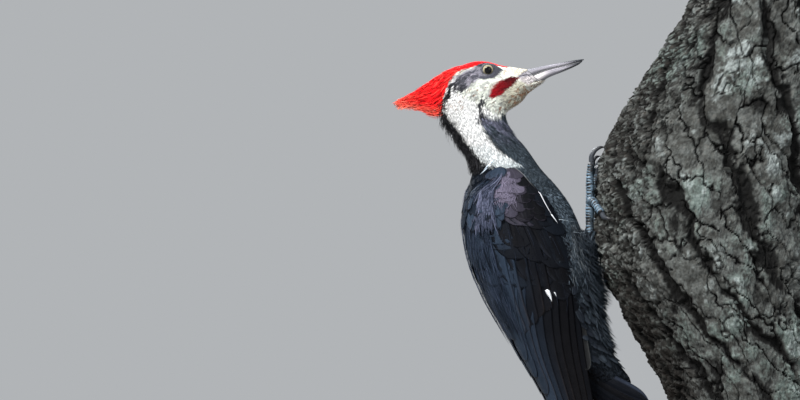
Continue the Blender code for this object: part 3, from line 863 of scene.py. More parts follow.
def plumage(s: Array, b: Array) -> Array:
    """Colours of the head, neck and torso, laid from the ground up; the sides are alike.

    The ground is slate, darker on the back and the belly. A white head and throat lie on it,
    then the black nape, the stripes, the bare base of the bill, and the red parts on top.

    Args:
        s, b: stations, and angles from the back line in radians.

    Returns:
        Linear colours.
    """
    angle = np.degrees(np.abs((b + np.pi) % TURN - np.pi))
    points = BODY.surface(s, b)
    mottle, speck = GRAIN.layers(points, 9.0, 3), GRAIN.at(points, 1.5)
    around = np.stack([s * 4.0, np.sin(b) * 26, np.cos(b) * 26], -1)
    hairs = np.clip(0.5 + 1.3 * GRAIN.at(around, 2.0), 0, 1)

    head = edge(table(angle, THROAT_END), s, 0.35)
    # Painted shade under the bill: the face colour is darker and warmer on the chin.
    chin = fall(s, 4.6, 1.8) * rise(angle, 84, 16)
    face = blend(FACE_WHITE, FACE_GREY, 0.55 * rise(hairs, 0.62, 0.3))
    face = face * (1 - chin[..., None] * (0.36, 0.40, 0.46))
    nape = edge(s, 6.5, 0.3) * fall(s, 11.0, 1.2) * edge(91, angle, 12)
    bib = rise(s, 6.4, 0.4) * fall(s, 9.2, 2.0) * rise(angle, 90, 6)
    white = blend(WHITE, WHITE_SHADE, np.clip(0.1 + 0.4 * mottle + 0.6 * (s - 8.8), 0, 1))
    foxed = rise(angle, 104, 40) * fall(s, 4.6, 4.0)
    ear = layered(EYE_PATCH, (EAR_LILAC, rise(hairs, 0.3, 0.4)),
                  (blend(NAPE, WHITE, rise(hairs, 0.72, 0.15)), rise(s, 4.9, 1.4)))
    jaw = JAW_STREAK.mask(s, angle) * (1.0 - 0.55 * rise(angle, 100, 10))
    horn = layered(HORN, (HORN_PALE, rise(angle, 84, 6)),
                   (HORN_LINE, 0.85 * np.exp(-((angle - 80) / 3.0) ** 2)))
    patch = blend(EYE_PATCH * (1 + 0.25 * mottle[..., None]), EAR_LILAC,
                  0.75 * rise(hairs, 0.38, 0.3) * rise(s, 3.2, 0.5))
    malar = blend(MALAR, MALAR_BRIGHT, np.clip(rise(s, 2.0, 1.8) + 0.5 * hairs - 0.25, 0, 1))
    return layered(
        SLATE,
        (SLATE_PALE, np.clip(0.22 + 0.3 * mottle, 0, 1)),
        (BLUE_BLACK, fall(angle, 95, 30) * 0.7),
        (BLUE_BLACK, rise(s, 12.7, 2.4) * 0.85),
        (face, head),
        (LILAC_PALE, bib * rise(hairs, 0.3, 0.3) * 0.8),
        (NAPE, nape),
        (white, NECK_STRIPE.mask(s, angle)),
        (BRISTLE, head * 0.8 * rise(speck + 0.75 * foxed, 0.5, 0.15)),
        (ear, EAR_STRIPE.mask(s, angle)),
        (EYE_PATCH * 0.4, rise(speck + 0.62 * jaw, 0.55, 0.15) * rise(jaw, 0, 0.2)),
        (CREAM, edge(table(angle, CREAM_END), s, 0.3)),
        (horn * (0.8 + 0.4 * hairs[..., None]), horn_share(s, angle)),
        (blend(CRIMSON_DEEP, CRIMSON, rise(s, 1.0, 1.2)), CROWN.mask(s, angle)),
        (patch, PATCH.mask(s, angle)),
        (malar, MOUSTACHE.mask(s, angle)),
        (LILAC, SHOULDER_PATCH.mask(s, angle) * 0.8))


# ------------------------------------------------------------------ feathers
@dataclass(frozen=True)
class Build:
    """How one kind of feather is made: its rings, section and outline.

    Attributes:
        rings: rings between the root's point and the tip's.
        columns: places across the section from -1 to 1 over its top, then its keel.
        thick: thickness at the shaft in millimetres.
        camber: how far the edges hang below the shaft, as a share of the half width.
        tip: share of the length over which the tip narrows.
        round: how blunt the tip is, from 0.5 for a round tip to 1.5 for a needle.
        root: share of the width at the root.
    """

    rings: int = 4
    columns: tuple = (-1.0, 0.0, 1.0)
    thick: float = 0.2
    camber: float = 0.2
    tip: float = 0.7
    round: float = 0.8
    root: float = 0.45

    def outline(self) -> tuple[Array, Array]:
        """The outline: its half width rises from the root, holds, and rounds off to the tip.

        Returns:
            Places of the rings as shares t of the length, closer together towards the tip,
            and shares of the half width there.
        """
        t = 1 - (1 - np.linspace(0, 1, self.rings + 2)[1:-1]) ** 1.25
        taper = np.clip((t - (1 - self.tip)) / self.tip, 0, 1)
        half = np.minimum(1, self.root + (1 - self.root) * t / 0.3)
        return poled_row(t, 0.0, 1.0), poled_row(half * (1 - taper ** 2) ** self.round, 0.0, 0.0)

    def triangles(self) -> Array:
        """Triangles of one feather: a point at the root, its rings, and a point at the tip.

        Returns:
            (n, 3) point numbers.
        """
        sides = len(self.columns)
        k = np.arange(sides)
        after = (k + 1) % sides
        p = 1 + np.arange(self.rings - 1)[:, None] * sides + k
        q = p - k + after
        body = np.concatenate([np.stack([p, p + sides, q], -1),
                               np.stack([q, p + sides, q + sides], -1)]).reshape(-1, 3)
        last = 1 + (self.rings - 1) * sides
        return np.vstack([np.stack([0 * k, 1 + k, 1 + after], 1), body,
                          np.stack([last + after, last + k, 0 * k + last + sides], 1)])


def poled_row(values: Array, first: float, last: float) -> Array:
    """Values of a feather's rings, between those of its root's point and its tip's."""
    return np.concatenate([[first], values.ravel(), [last]])


TUFT = Build(rings=2, thick=0.22, camber=0.35, tip=0.75, round=0.9)
SLEEK = Build(rings=2, thick=0.22, camber=0.08, tip=0.75, round=0.9)
BREAST = Build(rings=3, thick=0.25, tip=0.6, round=0.6)
SILK = Build(rings=5, thick=0.3, camber=0.3)
HAIR = Build(thick=0.12, camber=0.1, tip=0.8)
FLUFF = Build(camber=0.25)
STREAK = Build(rings=12, thick=0.12, camber=0.05, tip=1.0, round=1.3, root=1.0)
SMALL_COVERT = Build(rings=6, columns=(-1.0, -0.8, 0.0, 0.8, 1.0, 0.0), thick=0.1, camber=0.04,
                     tip=0.6, round=0.5, root=0.8)
COVERT = Build(rings=10, columns=(-1.0, -0.86, 0.0, 0.86, 1.0, 0.0), thick=0.12, camber=0.02,
               tip=0.4, round=0.5, root=0.9)
FLIGHT = Build(rings=26, columns=(-1.0, -0.84, 0.0, 0.84, 1.0, 0.0), thick=0.18, camber=0.0,
               tip=0.12, round=0.5, root=0.9)
STIFF = Build(rings=22, columns=(-1.0, -0.5, 0.0, 0.5, 1.0, 0.0), thick=0.8, camber=0.16,
              tip=0.34, round=0.75, root=0.5)


@dataclass
class Plumes:
    """Feathers ready to be written: their surface, two maps and colours.

    The map "Vane" runs across and along each feather, and "OFBake" gives each its own patch.
    """

    surface: Surface
    vane: Array
    bake: Array
    colours: Array

    @classmethod
    def merged(cls, parts: list["Plumes"]) -> "Plumes":
        """Put several sets of feathers together.

        Args:
            parts: the sets.

        Returns:
            Them as one set.
        """
        return cls(joined([part.surface for part in parts]),
                   *(np.vstack([getattr(part, key) for part in parts])
                     for key in ("vane", "bake", "colours")))

    def write(self, name: str, coat: "Coat") -> bpy.types.Object:
        """Write the feathers as one piece."""
        maps = {"Vane": self.vane, "OFBake": self.bake}
        return write_mesh(name, self.surface, coat, self.colours, maps)


@dataclass
class Growth:
    """Where and how a set of feathers grows; each field is one value, or one for each.

    Attributes:
        a, b: roots on the form.
        turn: way each feather points, from the form's lengthwise direction, in radians.
        length, width: size in millimetres.
        low, high: height of the root and the tip over the form's surface.
        base, tip: colours at the root and the tip.
        bend: power of the rise from root to tip.
        sway: sideways bend of the tip, as a share of the length.
        tilt: how much higher the edge towards greater b stands than the other one.
        rim: colour along the edges and round the tip, if it has one.
        rim_from: share of the length at which the rim starts.
    """

    a: Array
    b: Array
    turn: Array | float
    length: Array | float
    width: Array | float
    low: Array | float
    high: Array | float
    base: Array
    tip: Array
    bend: float = 1.0
    sway: Array | float = 0.0
    tilt: float = 0.0
    rim: Array | None = None
    rim_from: float = 0.3

    def each(self, value: Array | float) -> Array:
        """A value for each feather, shaped to spread over rings and columns."""
        return np.broadcast_to(np.asarray(value, float), self.a.shape)[:, None, None]

    def paint(self, value: Array) -> Array:
        """A colour for each feather, shaped to spread over its points."""
        return np.broadcast_to(value, (len(self.a), 3))[:, None]


@dataclass(frozen=True)
class Unwrap:
    """The flat layout of a form for baked colours: its b runs across and its a upwards."""

    low_a: float = 0.0
    high_a: float = 1.0
    low_b: float = -np.pi
    high_b: float = np.pi
    patch: float = 0.003
    border: float = 0.03

    def place(self, a: Array, b: Array) -> tuple[Array, Array]:
        """Places of roots on the layout, kept inside its border.

        Args:
            a, b: the roots on the form.

        Returns:
            How far they lie across and up.
        """
        room = 1 - 2 * self.border
        return (self.border + room * np.clip((b - self.low_b) / (self.high_b - self.low_b), 0, 1),
                self.border + room * np.clip((a - self.low_a) / (self.high_a - self.low_a), 0, 1))


def grow(form: Form, growth: Growth, build: Build, unwrap: Unwrap = Unwrap(),
         ends: tuple[Array, Array] | None = None) -> Plumes:
    """Grow feathers along a form as thin closed vanes.

    A feather runs over the form from its root, either straight in its own direction or to
    the place of its tip. Its top rises with t to the power of its bend, its edges hang down
    by the camber, and its keel lies half the thickness under the shaft.

    Args:
        form: the form that the feathers lie on.
        growth: the feathers' roots, sizes and colours.
        build: how each is made.
        unwrap: the form's flat layout for the bake's map.
        ends: places of the tips, for long feathers that follow the form from root to tip;
            each of these has a strip of its own on the bake's map.

    Returns:
        The feathers.
    """
    g, count, rings, sides = growth, len(growth.a), build.rings, len(build.columns)
    t, profile = build.outline()
    t, profile, across = t[:, None], profile[:, None], np.array(build.columns)
    keel = (np.arange(sides) == sides - 1) & (sides > 3)
    shape = profile * across
    length, half = g.each(g.length), g.each(g.width) / 2

    along = length * t + 0 * shape
    aside = half * shape + g.each(g.sway) * length * t ** 2
    if ends is None:
        cos, sin = np.cos(g.each(g.turn)), np.sin(g.each(g.turn))
        scale_a, scale_b = form.scale(np.clip(g.a, form.limits[0] + 0.1, form.limits[1] - 0.1), g.b)
        a = g.a[:, None, None] + (along * cos - aside * sin) / scale_a[:, None, None]
        b = g.b[:, None, None] + (along * sin + aside * cos) / (
            np.maximum(scale_b, 0.5)[:, None, None])
    else:
        a, b = (root[:, None, None] + (end - root)[:, None, None] * t
                for root, end in zip((g.a, g.b), ends))
        scale_b = np.maximum(form.scale(np.clip(a, *form.limits), b)[1], 4.0)
        a, b = a + 0 * aside, b + aside / scale_b

    level = g.each(g.low) + (g.each(g.high) - g.each(g.low)) * t ** g.bend
    body = np.minimum(1.0, profile * 3) * build.thick
    height = level - build.camber * half * profile * np.abs(across) ** 1.6
    height = height + np.where(keel, -0.5, 0.5 * (across == 0)) * body + g.tilt * 0.5 * shape
    place, normal = form.reach(a, b)
    points = place + height[..., None] * normal
    points = np.concatenate([points[:, :1, 0], points[:, 1:-1].reshape(count, -1, 3),
                             points[:, -1:, 0]], 1)
    one = outward(points[0] - points[0].mean(0), build.triangles())[1]
    triangles = np.arange(count)[:, None, None] * points.shape[1] + one

    flat_t = poled_row(np.repeat(t[1:-1], sides), 0.0, 1.0)
    flat_x = poled_row(shape[1:-1], 0.0, 0.0)
    vane = np.stack([0.5 + flat_x * g.each(g.width)[..., 0] / 20,
                     flat_t * length[..., 0] / 10 + 0 * flat_x], -1)
    if ends is None:
        (u, v), patch_u, patch_v = unwrap.place(g.a, g.b), unwrap.patch, unwrap.patch
    else:
        u, v = (np.arange(count) + 0.5) / count, np.full(count, 0.5)
        patch_u, patch_v = 0.8 / count, 0.92
    spread_x = poled_row(np.tile(across + 0.35 * keel, rings), 0.0, 0.0)
    bake = np.stack([u[:, None] + patch_u * 0.5 * spread_x,
                     v[:, None] + patch_v * (flat_t - 0.5)], -1)

    base = g.paint(g.base)
    colours = base + (g.paint(g.tip) - base) * rise(flat_t, 0.35, 0.6)[:, None]
    if g.rim is not None:
        off = poled_row(np.tile(np.abs(across), rings), 0.0, 1.0)
        line = rise(off, 0.8, 0.2) * rise(flat_t, g.rim_from, 0.7 * (1 - g.rim_from))
        colours = colours + (g.paint(g.rim) - colours) * line[:, None]
    return Plumes((points.reshape(-1, 3), triangles.reshape(-1, 3)), vane.reshape(-1, 2),
                  bake.reshape(-1, 2), colours.reshape(-1, 3))


def scatter(form: Form, low: tuple, high: tuple, density: float, seed: int,
            hidden: Callable[[Array], Array] | None = None) -> tuple[Array, Array]:
    """Scatter roots over part of a form, as many on each square millimetre of it.

    More places than needed are spread evenly over the part's two parameters, and each is
    kept by a chance in step with the form's size there.

    Args:
        form: the form.
        low, high: corners of the part, each as lengthwise and crosswise place.
        density: roots for each square millimetre.
        seed: seed of the thinning.
        hidden: tells of points whether nothing grows there.

    Returns:
        Lengthwise and crosswise places of the roots.
    """
    size = (high[0] - low[0]) * (high[1] - low[1])

    def wanted(pairs: Array) -> tuple[Array, Array, Array]:
        """The chance of roots over the part.

        Args:
            pairs: places in the unit square.

        Returns:
            Their lengthwise and crosswise places, and how many roots the whole part would
            have at each one's rate.
        """
        a, b = between(low, high, pairs)
        scale_a, scale_b = form.scale(a, b)
        share = 1.0 if hidden is None else ~hidden(form.surface(a, b)) * 1.0
        return a, b, density * size * scale_a * scale_b * share

    most = np.percentile(wanted(spread(3000))[2], 98)
    count = int(max(most, 8))
    a, b, want = wanted(spread(count, 17))
    keep = np.random.default_rng(seed).random(count) < want / most
    return a[keep], b[keep]


# ------------------------------------------------------------------ materials
class Tree:
    """Short calls for building a tree of nodes."""

    def __init__(self, tree: bpy.types.NodeTree) -> None:
        """Take the tree that the nodes are added to."""
        self.tree = tree

    def fill(self, node: bpy.types.Node, inputs: dict) -> None:
        """Give a node's inputs their values, or link them.

        Args:
            node: the node.
            inputs: values or sockets, by the input's name or number.
        """
        for key, value in inputs.items():
            if isinstance(value, Socket):
                self.tree.links.new(value, node.inputs[key])
            else:
                node.inputs[key].default_value = value

    def add(self, kind: str, inputs: dict | None = None, **settings: object) -> bpy.types.Node:
        """Add a node.

        Args:
            kind: the node's type, without its leading "ShaderNode".
            inputs: values or sockets for its inputs.
            settings: the node's own settings.

        Returns:
            The node.
        """
        node = self.tree.nodes.new("ShaderNode" + kind)
        for key, value in settings.items():
            setattr(node, key, value)
        self.fill(node, inputs or {})
        return node

    def place(self) -> Socket:
        """The object's own coordinates."""
        return self.add("TexCoord").outputs["Object"]

    def group(self, effect: bpy.types.NodeTree, **values: float) -> bpy.types.NodeOutputs:
        """The outputs of a shared effect, placed with values of its own."""
        return self.add("Group", values, node_tree=effect).outputs

    def noise(self, place: Socket, scale: Socket | float, detail: Socket | float,
              **more: Socket | float) -> Socket:
        """Noise at a place."""
        return self.add("TexNoise", {"Vector": place, "Scale": scale, "Detail": detail,
                                     **more}).outputs[0]

    def math(self, operation: str, *values: Socket | float) -> Socket:
        """The outcome of a Math node."""
        return self.add("Math", dict(enumerate(values)), operation=operation).outputs[0]

    def ramp(self, value: Socket, low: float, high: float, start: float = 0.0,
             end: float = 1.0) -> Socket:
        """Map a value from the range low to high onto start to end, smoothly and clamped."""
        return self.add("MapRange", {0: value, 1: low, 2: high, 3: start, 4: end},
                        interpolation_type="SMOOTHSTEP").outputs[0]

    def mix(self, factor: Socket | float, a: Socket | tuple, b: Socket | tuple,
            kind: str = "MIX") -> Socket:
        """Mix two colours."""
        return self.add("Mix", {0: factor, 6: a, 7: b}, data_type="RGBA",
                        blend_type=kind).outputs[2]

    def bump(self, height: Socket, strength: float, depth: float) -> Socket:
        """A normal bent by a height, of a depth in millimetres."""
        return self.add("Bump", {"Height": height, "Strength": strength,
                                 "Distance": depth * MM}).outputs[0]


class Stuff(Tree):
    """A material under construction, with its shader."""

    def __init__(self, name: str) -> None:
        """Start a material with a plain shader.

        Args:
            name: the material's name.
        """
        self.material = bpy.data.materials.new(name)
        self.material.use_nodes = True
        super().__init__(self.material.node_tree)
        self.shader = self.tree.nodes["Principled BSDF"]

    def finished(self, inputs: dict) -> bpy.types.Material:
        """Fill the shader's inputs and give the material."""
        self.fill(self.shader, inputs)
        return self.material


class Effect(Tree):
    """A shared effect under construction: a node group of plain values."""

    def __init__(self, name: str, values: dict[str, float], outputs: tuple[str, ...]) -> None:
        """Start a group.

        Args:
            name: its name.
            values: its inputs' defaults.
            outputs: names of its outputs.
        """
        super().__init__(bpy.data.node_groups.new(name, "ShaderNodeTree"))
        face = self.tree.interface
        for key, value in values.items():
            socket = face.new_socket(key, in_out="INPUT", socket_type="NodeSocketFloat")
            socket.default_value = value
        for key in outputs:
            face.new_socket(key, in_out="OUTPUT", socket_type="NodeSocketFloat")
        self.entry = self.tree.nodes.new("NodeGroupInput").outputs
        self.leave = self.tree.nodes.new("NodeGroupOutput")


@cache
def barbs() -> bpy.types.NodeTree:
    """Barbs of a vane: fine slanted lines either side of a shaft, with ragged spacing.

    The lines are a sine of the place along the vane less a share of the distance from its
    shaft, pushed about by noise.

    Returns:
        The group.
    """
    tree = Effect("Barbs", {"Pitch": 60.0, "Slant": 1.3}, ("Tone", "Height"))
    across, along = tree.add("SeparateXYZ", {
        0: tree.add("UVMap", uv_map="Vane").outputs[0]}).outputs[:2]
    off = tree.math("ABSOLUTE", tree.math("SUBTRACT", across, 0.5))
    line = tree.math("SUBTRACT", along, tree.math("MULTIPLY", off, tree.entry["Slant"]))
    place = tree.place()
    wander = tree.math("MULTIPLY", tree.noise(place, 420.0, 2.0), 0.05)
    phase = tree.math("MULTIPLY", tree.math("ADD", line, wander), tree.entry["Pitch"])
    wave = tree.math("SINE", tree.math("MULTIPLY", phase, 6.283))
    wave = tree.math("MULTIPLY_ADD", wave, 0.5, 0.5)
    shaft = tree.ramp(off, 0.012, 0.03, 1.0, 0.0)
    clump = tree.math("MULTIPLY", tree.noise(place, 160.0, 3.0), 0.55)
    tone = tree.math("ADD", tree.math("MULTIPLY", wave, 0.45), clump)
    tree.fill(tree.leave, {"Tone": tree.math("MAXIMUM", tone, shaft),
                           "Height": tree.math("ADD", wave, shaft)})
    return tree.tree


@cache
def mottle() -> bpy.types.NodeTree:
    """Mottle of a solid surface: two sizes of noise that lie still in the object's space.

    Returns:
        The group.
    """
    tree = Effect("Mottle", {"Scale": 100.0, "Fine": 600.0}, ("Broad", "Fine"))
    place = tree.place()
    tree.fill(tree.leave, {"Broad": tree.noise(place, tree.entry["Scale"], 4.0, Roughness=0.55),
                           "Fine": tree.noise(place, tree.entry["Fine"], 5.0, Roughness=0.65)})
    return tree.tree


@cache
def drawn_lines() -> bpy.types.NodeTree:
    """Lines drawn out one way, as grain or brushing: noise with a scale for each axis.

    Returns:
        The group.
    """
    tree = Effect("Drawn lines", {"X": 100.0, "Y": 100.0, "Z": 100.0, "Detail": 3.0,
                                  "Distortion": 0.0}, ("Line",))
    scale = tree.add("CombineXYZ", {axis: tree.entry[axis] for axis in "XYZ"}).outputs[0]
    drawn = tree.add("VectorMath", {0: tree.place(), 1: scale}, operation="MULTIPLY").outputs[0]
    tree.fill(tree.leave, {"Line": tree.noise(drawn, 1.0, tree.entry["Detail"],
                                              Distortion=tree.entry["Distortion"])})
    return tree.tree


@dataclass(frozen=True)
class Finish:
    """A painted finish: the piece's own colours, broken up by mottle or barbs.

    Attributes:
        name: the material's name.
        barbed: whether it has the barbs of a vane, or else mottle.
        rough, spread: roughness in the middle and how far it varies.
        contrast: how far the pattern darkens and lightens the colour.
        bump: depth of the pattern in millimetres.
        broad, fine: scales of the mottle for each metre.
        pitch: barbs for each centimetre.
        coat, sheen, sheen_tint, specular: constants of the shader.
    """

    name: str
    barbed: bool = True
    rough: float = 0.6
    spread: float = 0.12
    contrast: float = 0.5
    bump: float = 0.12
    broad: float = 120.0
    fine: float = 700.0
    pitch: float = 26.0
    coat: float = 0.0
    sheen: float = 0.0
    sheen_tint: tuple = (1.0, 1.0, 1.0)
    specular: float = 0.5

    def build(self) -> bpy.types.Material:
        """Make the material: the pattern darkens the colour and sets roughness and height.

        Returns:
            The material.
        """
        tree = Stuff(self.name)
        paint = tree.add("Attribute", attribute_name="plumage", attribute_type="GEOMETRY")
        if self.barbed:
            pattern = tree.group(barbs(), Pitch=self.pitch)
            tone, height = pattern["Tone"], pattern["Height"]
        else:
            pattern = tree.group(mottle(), Scale=self.broad, Fine=self.fine)
            height = pattern["Fine"]
            tone = tree.math("ADD", tree.math("MULTIPLY", pattern["Broad"], 0.5),
                             tree.math("MULTIPLY", height, 0.5))
        factor = tree.ramp(tone, 0.25, 0.75, 1 - self.contrast, 1 + self.contrast)
        grey = tree.add("CombineColor", {0: factor, 1: factor, 2: factor}).outputs[0]
        return tree.finished({
            "Base Color": tree.mix(1.0, paint.outputs["Color"], grey, "MULTIPLY"),
            "Roughness": tree.ramp(tone, 0.2, 0.8, self.rough + self.spread,
                                   self.rough - self.spread),
            "Normal": tree.bump(height, 0.8, self.bump),
            "Coat Weight": self.coat, "Coat Roughness": 0.04,
            "Sheen Weight": self.sheen, "Sheen Roughness": 0.45,
            "Sheen Tint": (*self.sheen_tint, 1.0), "Specular IOR Level": self.specular})


class Coat(Enum):
    """The painted finishes, each with the name of a material slot."""

    BLACK = (Finish("black_vanes", rough=0.5, contrast=0.3, bump=0.06, specular=0.04),
             "black_plumage")
    SLATE = (Finish("slate_plumes", rough=0.65, contrast=0.4, specular=0.12), "slate_plumage")
    FACE = (Finish("face_plumes", rough=0.72, contrast=0.06, bump=0.01, sheen=0.04,
                   specular=0.15), "face_plumage")
    RED = (Finish("crest_silk", rough=0.5, contrast=0.3, sheen=0.05,
                  sheen_tint=(1.0, 0.4, 0.3), specular=0.12), "red_crest")
    SKIN = (Finish("bare_skin", barbed=False, contrast=0.35, bump=0.3, broad=300, fine=2400),
            "face_plumage")
    BILL = (Finish("bill_horn", barbed=False, rough=0.36, contrast=0.16, bump=0.05, broad=90,
                   fine=1500, coat=0.05, specular=0.35), "horn_bill")
    CLAW = (Finish("claw_horn", barbed=False, rough=0.36, contrast=0.3, bump=0.05, broad=250,
                   fine=1800, coat=0.04, specular=0.3), "horn_claw")
    FOOT = (Finish("scaled_foot", barbed=False, rough=0.5, contrast=0.4, broad=260, fine=1600),
            "scaly_foot")
    EYE = (Finish("wet_eye", barbed=False, rough=0.12, spread=0.04, contrast=0.1, bump=0.0,
                  coat=0.35, specular=0.0), "eye_glass")
    BARK = (Finish("furrowed_bark", barbed=False, rough=0.9, spread=0.08, contrast=0.6, bump=0.9,
                   fine=520, specular=0.2), "bark")
    SAWN = (Finish("sawn_wood", barbed=False, rough=0.8, contrast=0.2, bump=0.2, broad=200,
                   fine=1500, specular=0.25), "bark")

    def __init__(self, finish: Finish, slot: str) -> None:
        """Keep the finish and its slot."""
        self.finish, self.slot = finish, slot

    @cache
    def material(self) -> bpy.types.Material:
        """The finish's material, made on first use."""
        return self.finish.build()


# ------------------------------------------------------------------ skin and coat
COAT_DEPTH = ((0, 0.7), (2, 1.0), (5, 2.0), (8, 2.8), (12, 3.2), (17, 3.0), (21, 1.0))
NAPE_RISE = ((6.2, 0.0), (6.9, 7.0), (7.7, 6.8), (8.5, 3.6), (9.4, 4.2), (10.0, 0.8))


@dataclass(frozen=True)
class Eye:
    """One eye: a ball with a cupped iris and a domed window, and the lids round it.

    Attributes:
        side: the bird's side.
        x, out, z: middle of the ball, out from the bird's middle plane.
        radius: the ball's.
        pupil, iris, opening: edges of these, as angles from the way it looks.
    """

    side: Side
    x: float = -178.5
    out: float = 10.4
    z: float = 424.2
    radius: float = 5.4
    pupil: float = 0.52
    iris: float = 0.86
    opening: float = 0.90

    def centre(self) -> Array:
        """Middle of the ball."""
        return np.array([self.x, AXIS_Y - self.side.value * self.out, self.z])

    def near(self, points: Array) -> Array:
        """Whether points lie on this eye's side of the head."""
        return points[..., 1] * -self.side.value > 3

    def cap(self, polar: Array, around: Array, radius: Array | float) -> Array:
        """Points of a ball, by angles from the way it looks.

        Args:
            polar: angle from the way the eye looks.
            around: angle round that, from ahead to up.
            radius: distance from the middle.

        Returns:
            The points.
        """
        look = unit(np.array([0.10, -self.side.value, -0.12]))
        ahead = unit(np.cross(look, (0, 0, 1.0)) * -self.side.value)
        up = np.cross(ahead, look) * self.side.value
        flat = np.cos(around)[..., None] * ahead + np.sin(around)[..., None] * up
        ball = np.cos(polar)[..., None] * look + np.sin(polar)[..., None] * flat
        return self.centre() + np.asarray(radius)[..., None] * ball

    def build(self) -> None:
        """Build the ball; its colours run from pupil to iris to rim by the angle."""
        polar, around = grid(np.linspace(0.004, np.pi - 0.004, 96), turns(96))
        surface = shell(self.cap(polar, around, self.radius + 0.25 * (1 - rise(polar, 0, 1.0))))
        angle, turn = poled(polar, 0, np.pi), poled(around)
        fibre = 0.5 + 0.5 * np.sin(turn * 37 + 2 * np.sin(turn * 11))
        # Painted shade: the iris is darker towards the top, under the upper lid.
        shade = 0.45 + 0.55 * fall(np.sin(turn), 0.75, 0.9)
        iris = blend(rgb(98, 90, 68), rgb(154, 147, 124), rise(angle, self.pupil, 0.2))
        colour = layered(
            rgb(8, 8, 10),
            (iris * ((0.84 + 0.16 * fibre) * shade)[:, None], rise(angle, self.pupil + 0.02, 0.05)),
            (rgb(30, 28, 30), rise(angle, self.iris + 0.04, 0.06)))
        word = self.side.name.lower()
        piece = write_mesh(f"eye_{word}_ball", surface, Coat.EYE, colour)
        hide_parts(f"eye_{word}")

    def lids(self) -> Surface:
        """Lids as a ring over the ball, with its corners drawn out and fine folds across.

        Returns:
            The ring's points and triangles.
        """
        around, across = grid(turns(120), turns(18))
        almond = 0.07 * np.cos(2 * around) - 0.06 * np.sin(around)
        polar = self.opening + almond + 0.34 * (0.5 - 0.5 * np.cos(across))
        fold = 0.10 * np.sin(around * 40) * np.sin(across / 2) ** 2
        points = self.cap(polar, around, self.radius + (0.42 + 0.40 * np.sin(across) + fold))
        rows, sides = points.shape[:2]
        triangles = grid_triangles(rows + 1, sides, True) % (rows * sides)
        return outward(points.reshape(-1, 3), triangles)


@dataclass(frozen=True)
class Skin:
    """The one skin under the coat: body, thighs, crest and lids as closed shells."""

    rows: int = 250
    sides: int = 180

    def build(self) -> None:
        """Build the skin and let it stand for the solids of flesh."""
        s, b = grid(np.linspace(*BODY.limits, self.rows), turns(self.sides))
        parts = [shell(BODY.surface(s, b, table(s, COAT_DEPTH)))]
        # Painted shade: the skin takes the plumage's colours darkened, and the thighs' and crest's
        # skin is darker too, as shade under the coat.
        colours = [np.vstack([plumage(s, b).reshape(-1, 3), [CREAM, SLATE]]) * 0.6]
        a, turn = grid(np.linspace(0, 1, 40), turns(48))
        more = [(shell(form.surface(a, turn, inset)), colour * 0.7) for form, inset, colour in (
            (thigh_form(Side.RIGHT), 2.2, SLATE), (thigh_form(Side.LEFT), 2.2, SLATE),
            (CREST, 2.0, CRIMSON_DEEP))]
        more += [(Eye(side).lids(), rgb(72, 74, 82)) for side in Side]
        for surface, colour in more:
            parts.append(surface)
            colours.append(np.broadcast_to(colour, surface[0].shape))
        piece = write_mesh("skin", joined(parts), Coat.SKIN, np.vstack(colours))
        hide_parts("head", "neck", "torso", "thigh_right", "thigh_left")


def bare(points: Array) -> Array:
    """Where the body grows no feathers: under the wings, and within the lids.

    Args:
        points: (..., 3) points of the body.

    Returns:
        Truth for each point.
    """
    hidden = under_wing(points)
    for eye in map(Eye, Side):
        gap = points - eye.centre()
        hidden |= eye.near(points) & (np.hypot(gap[..., 0], gap[..., 2]) < 5.3)
    return hidden


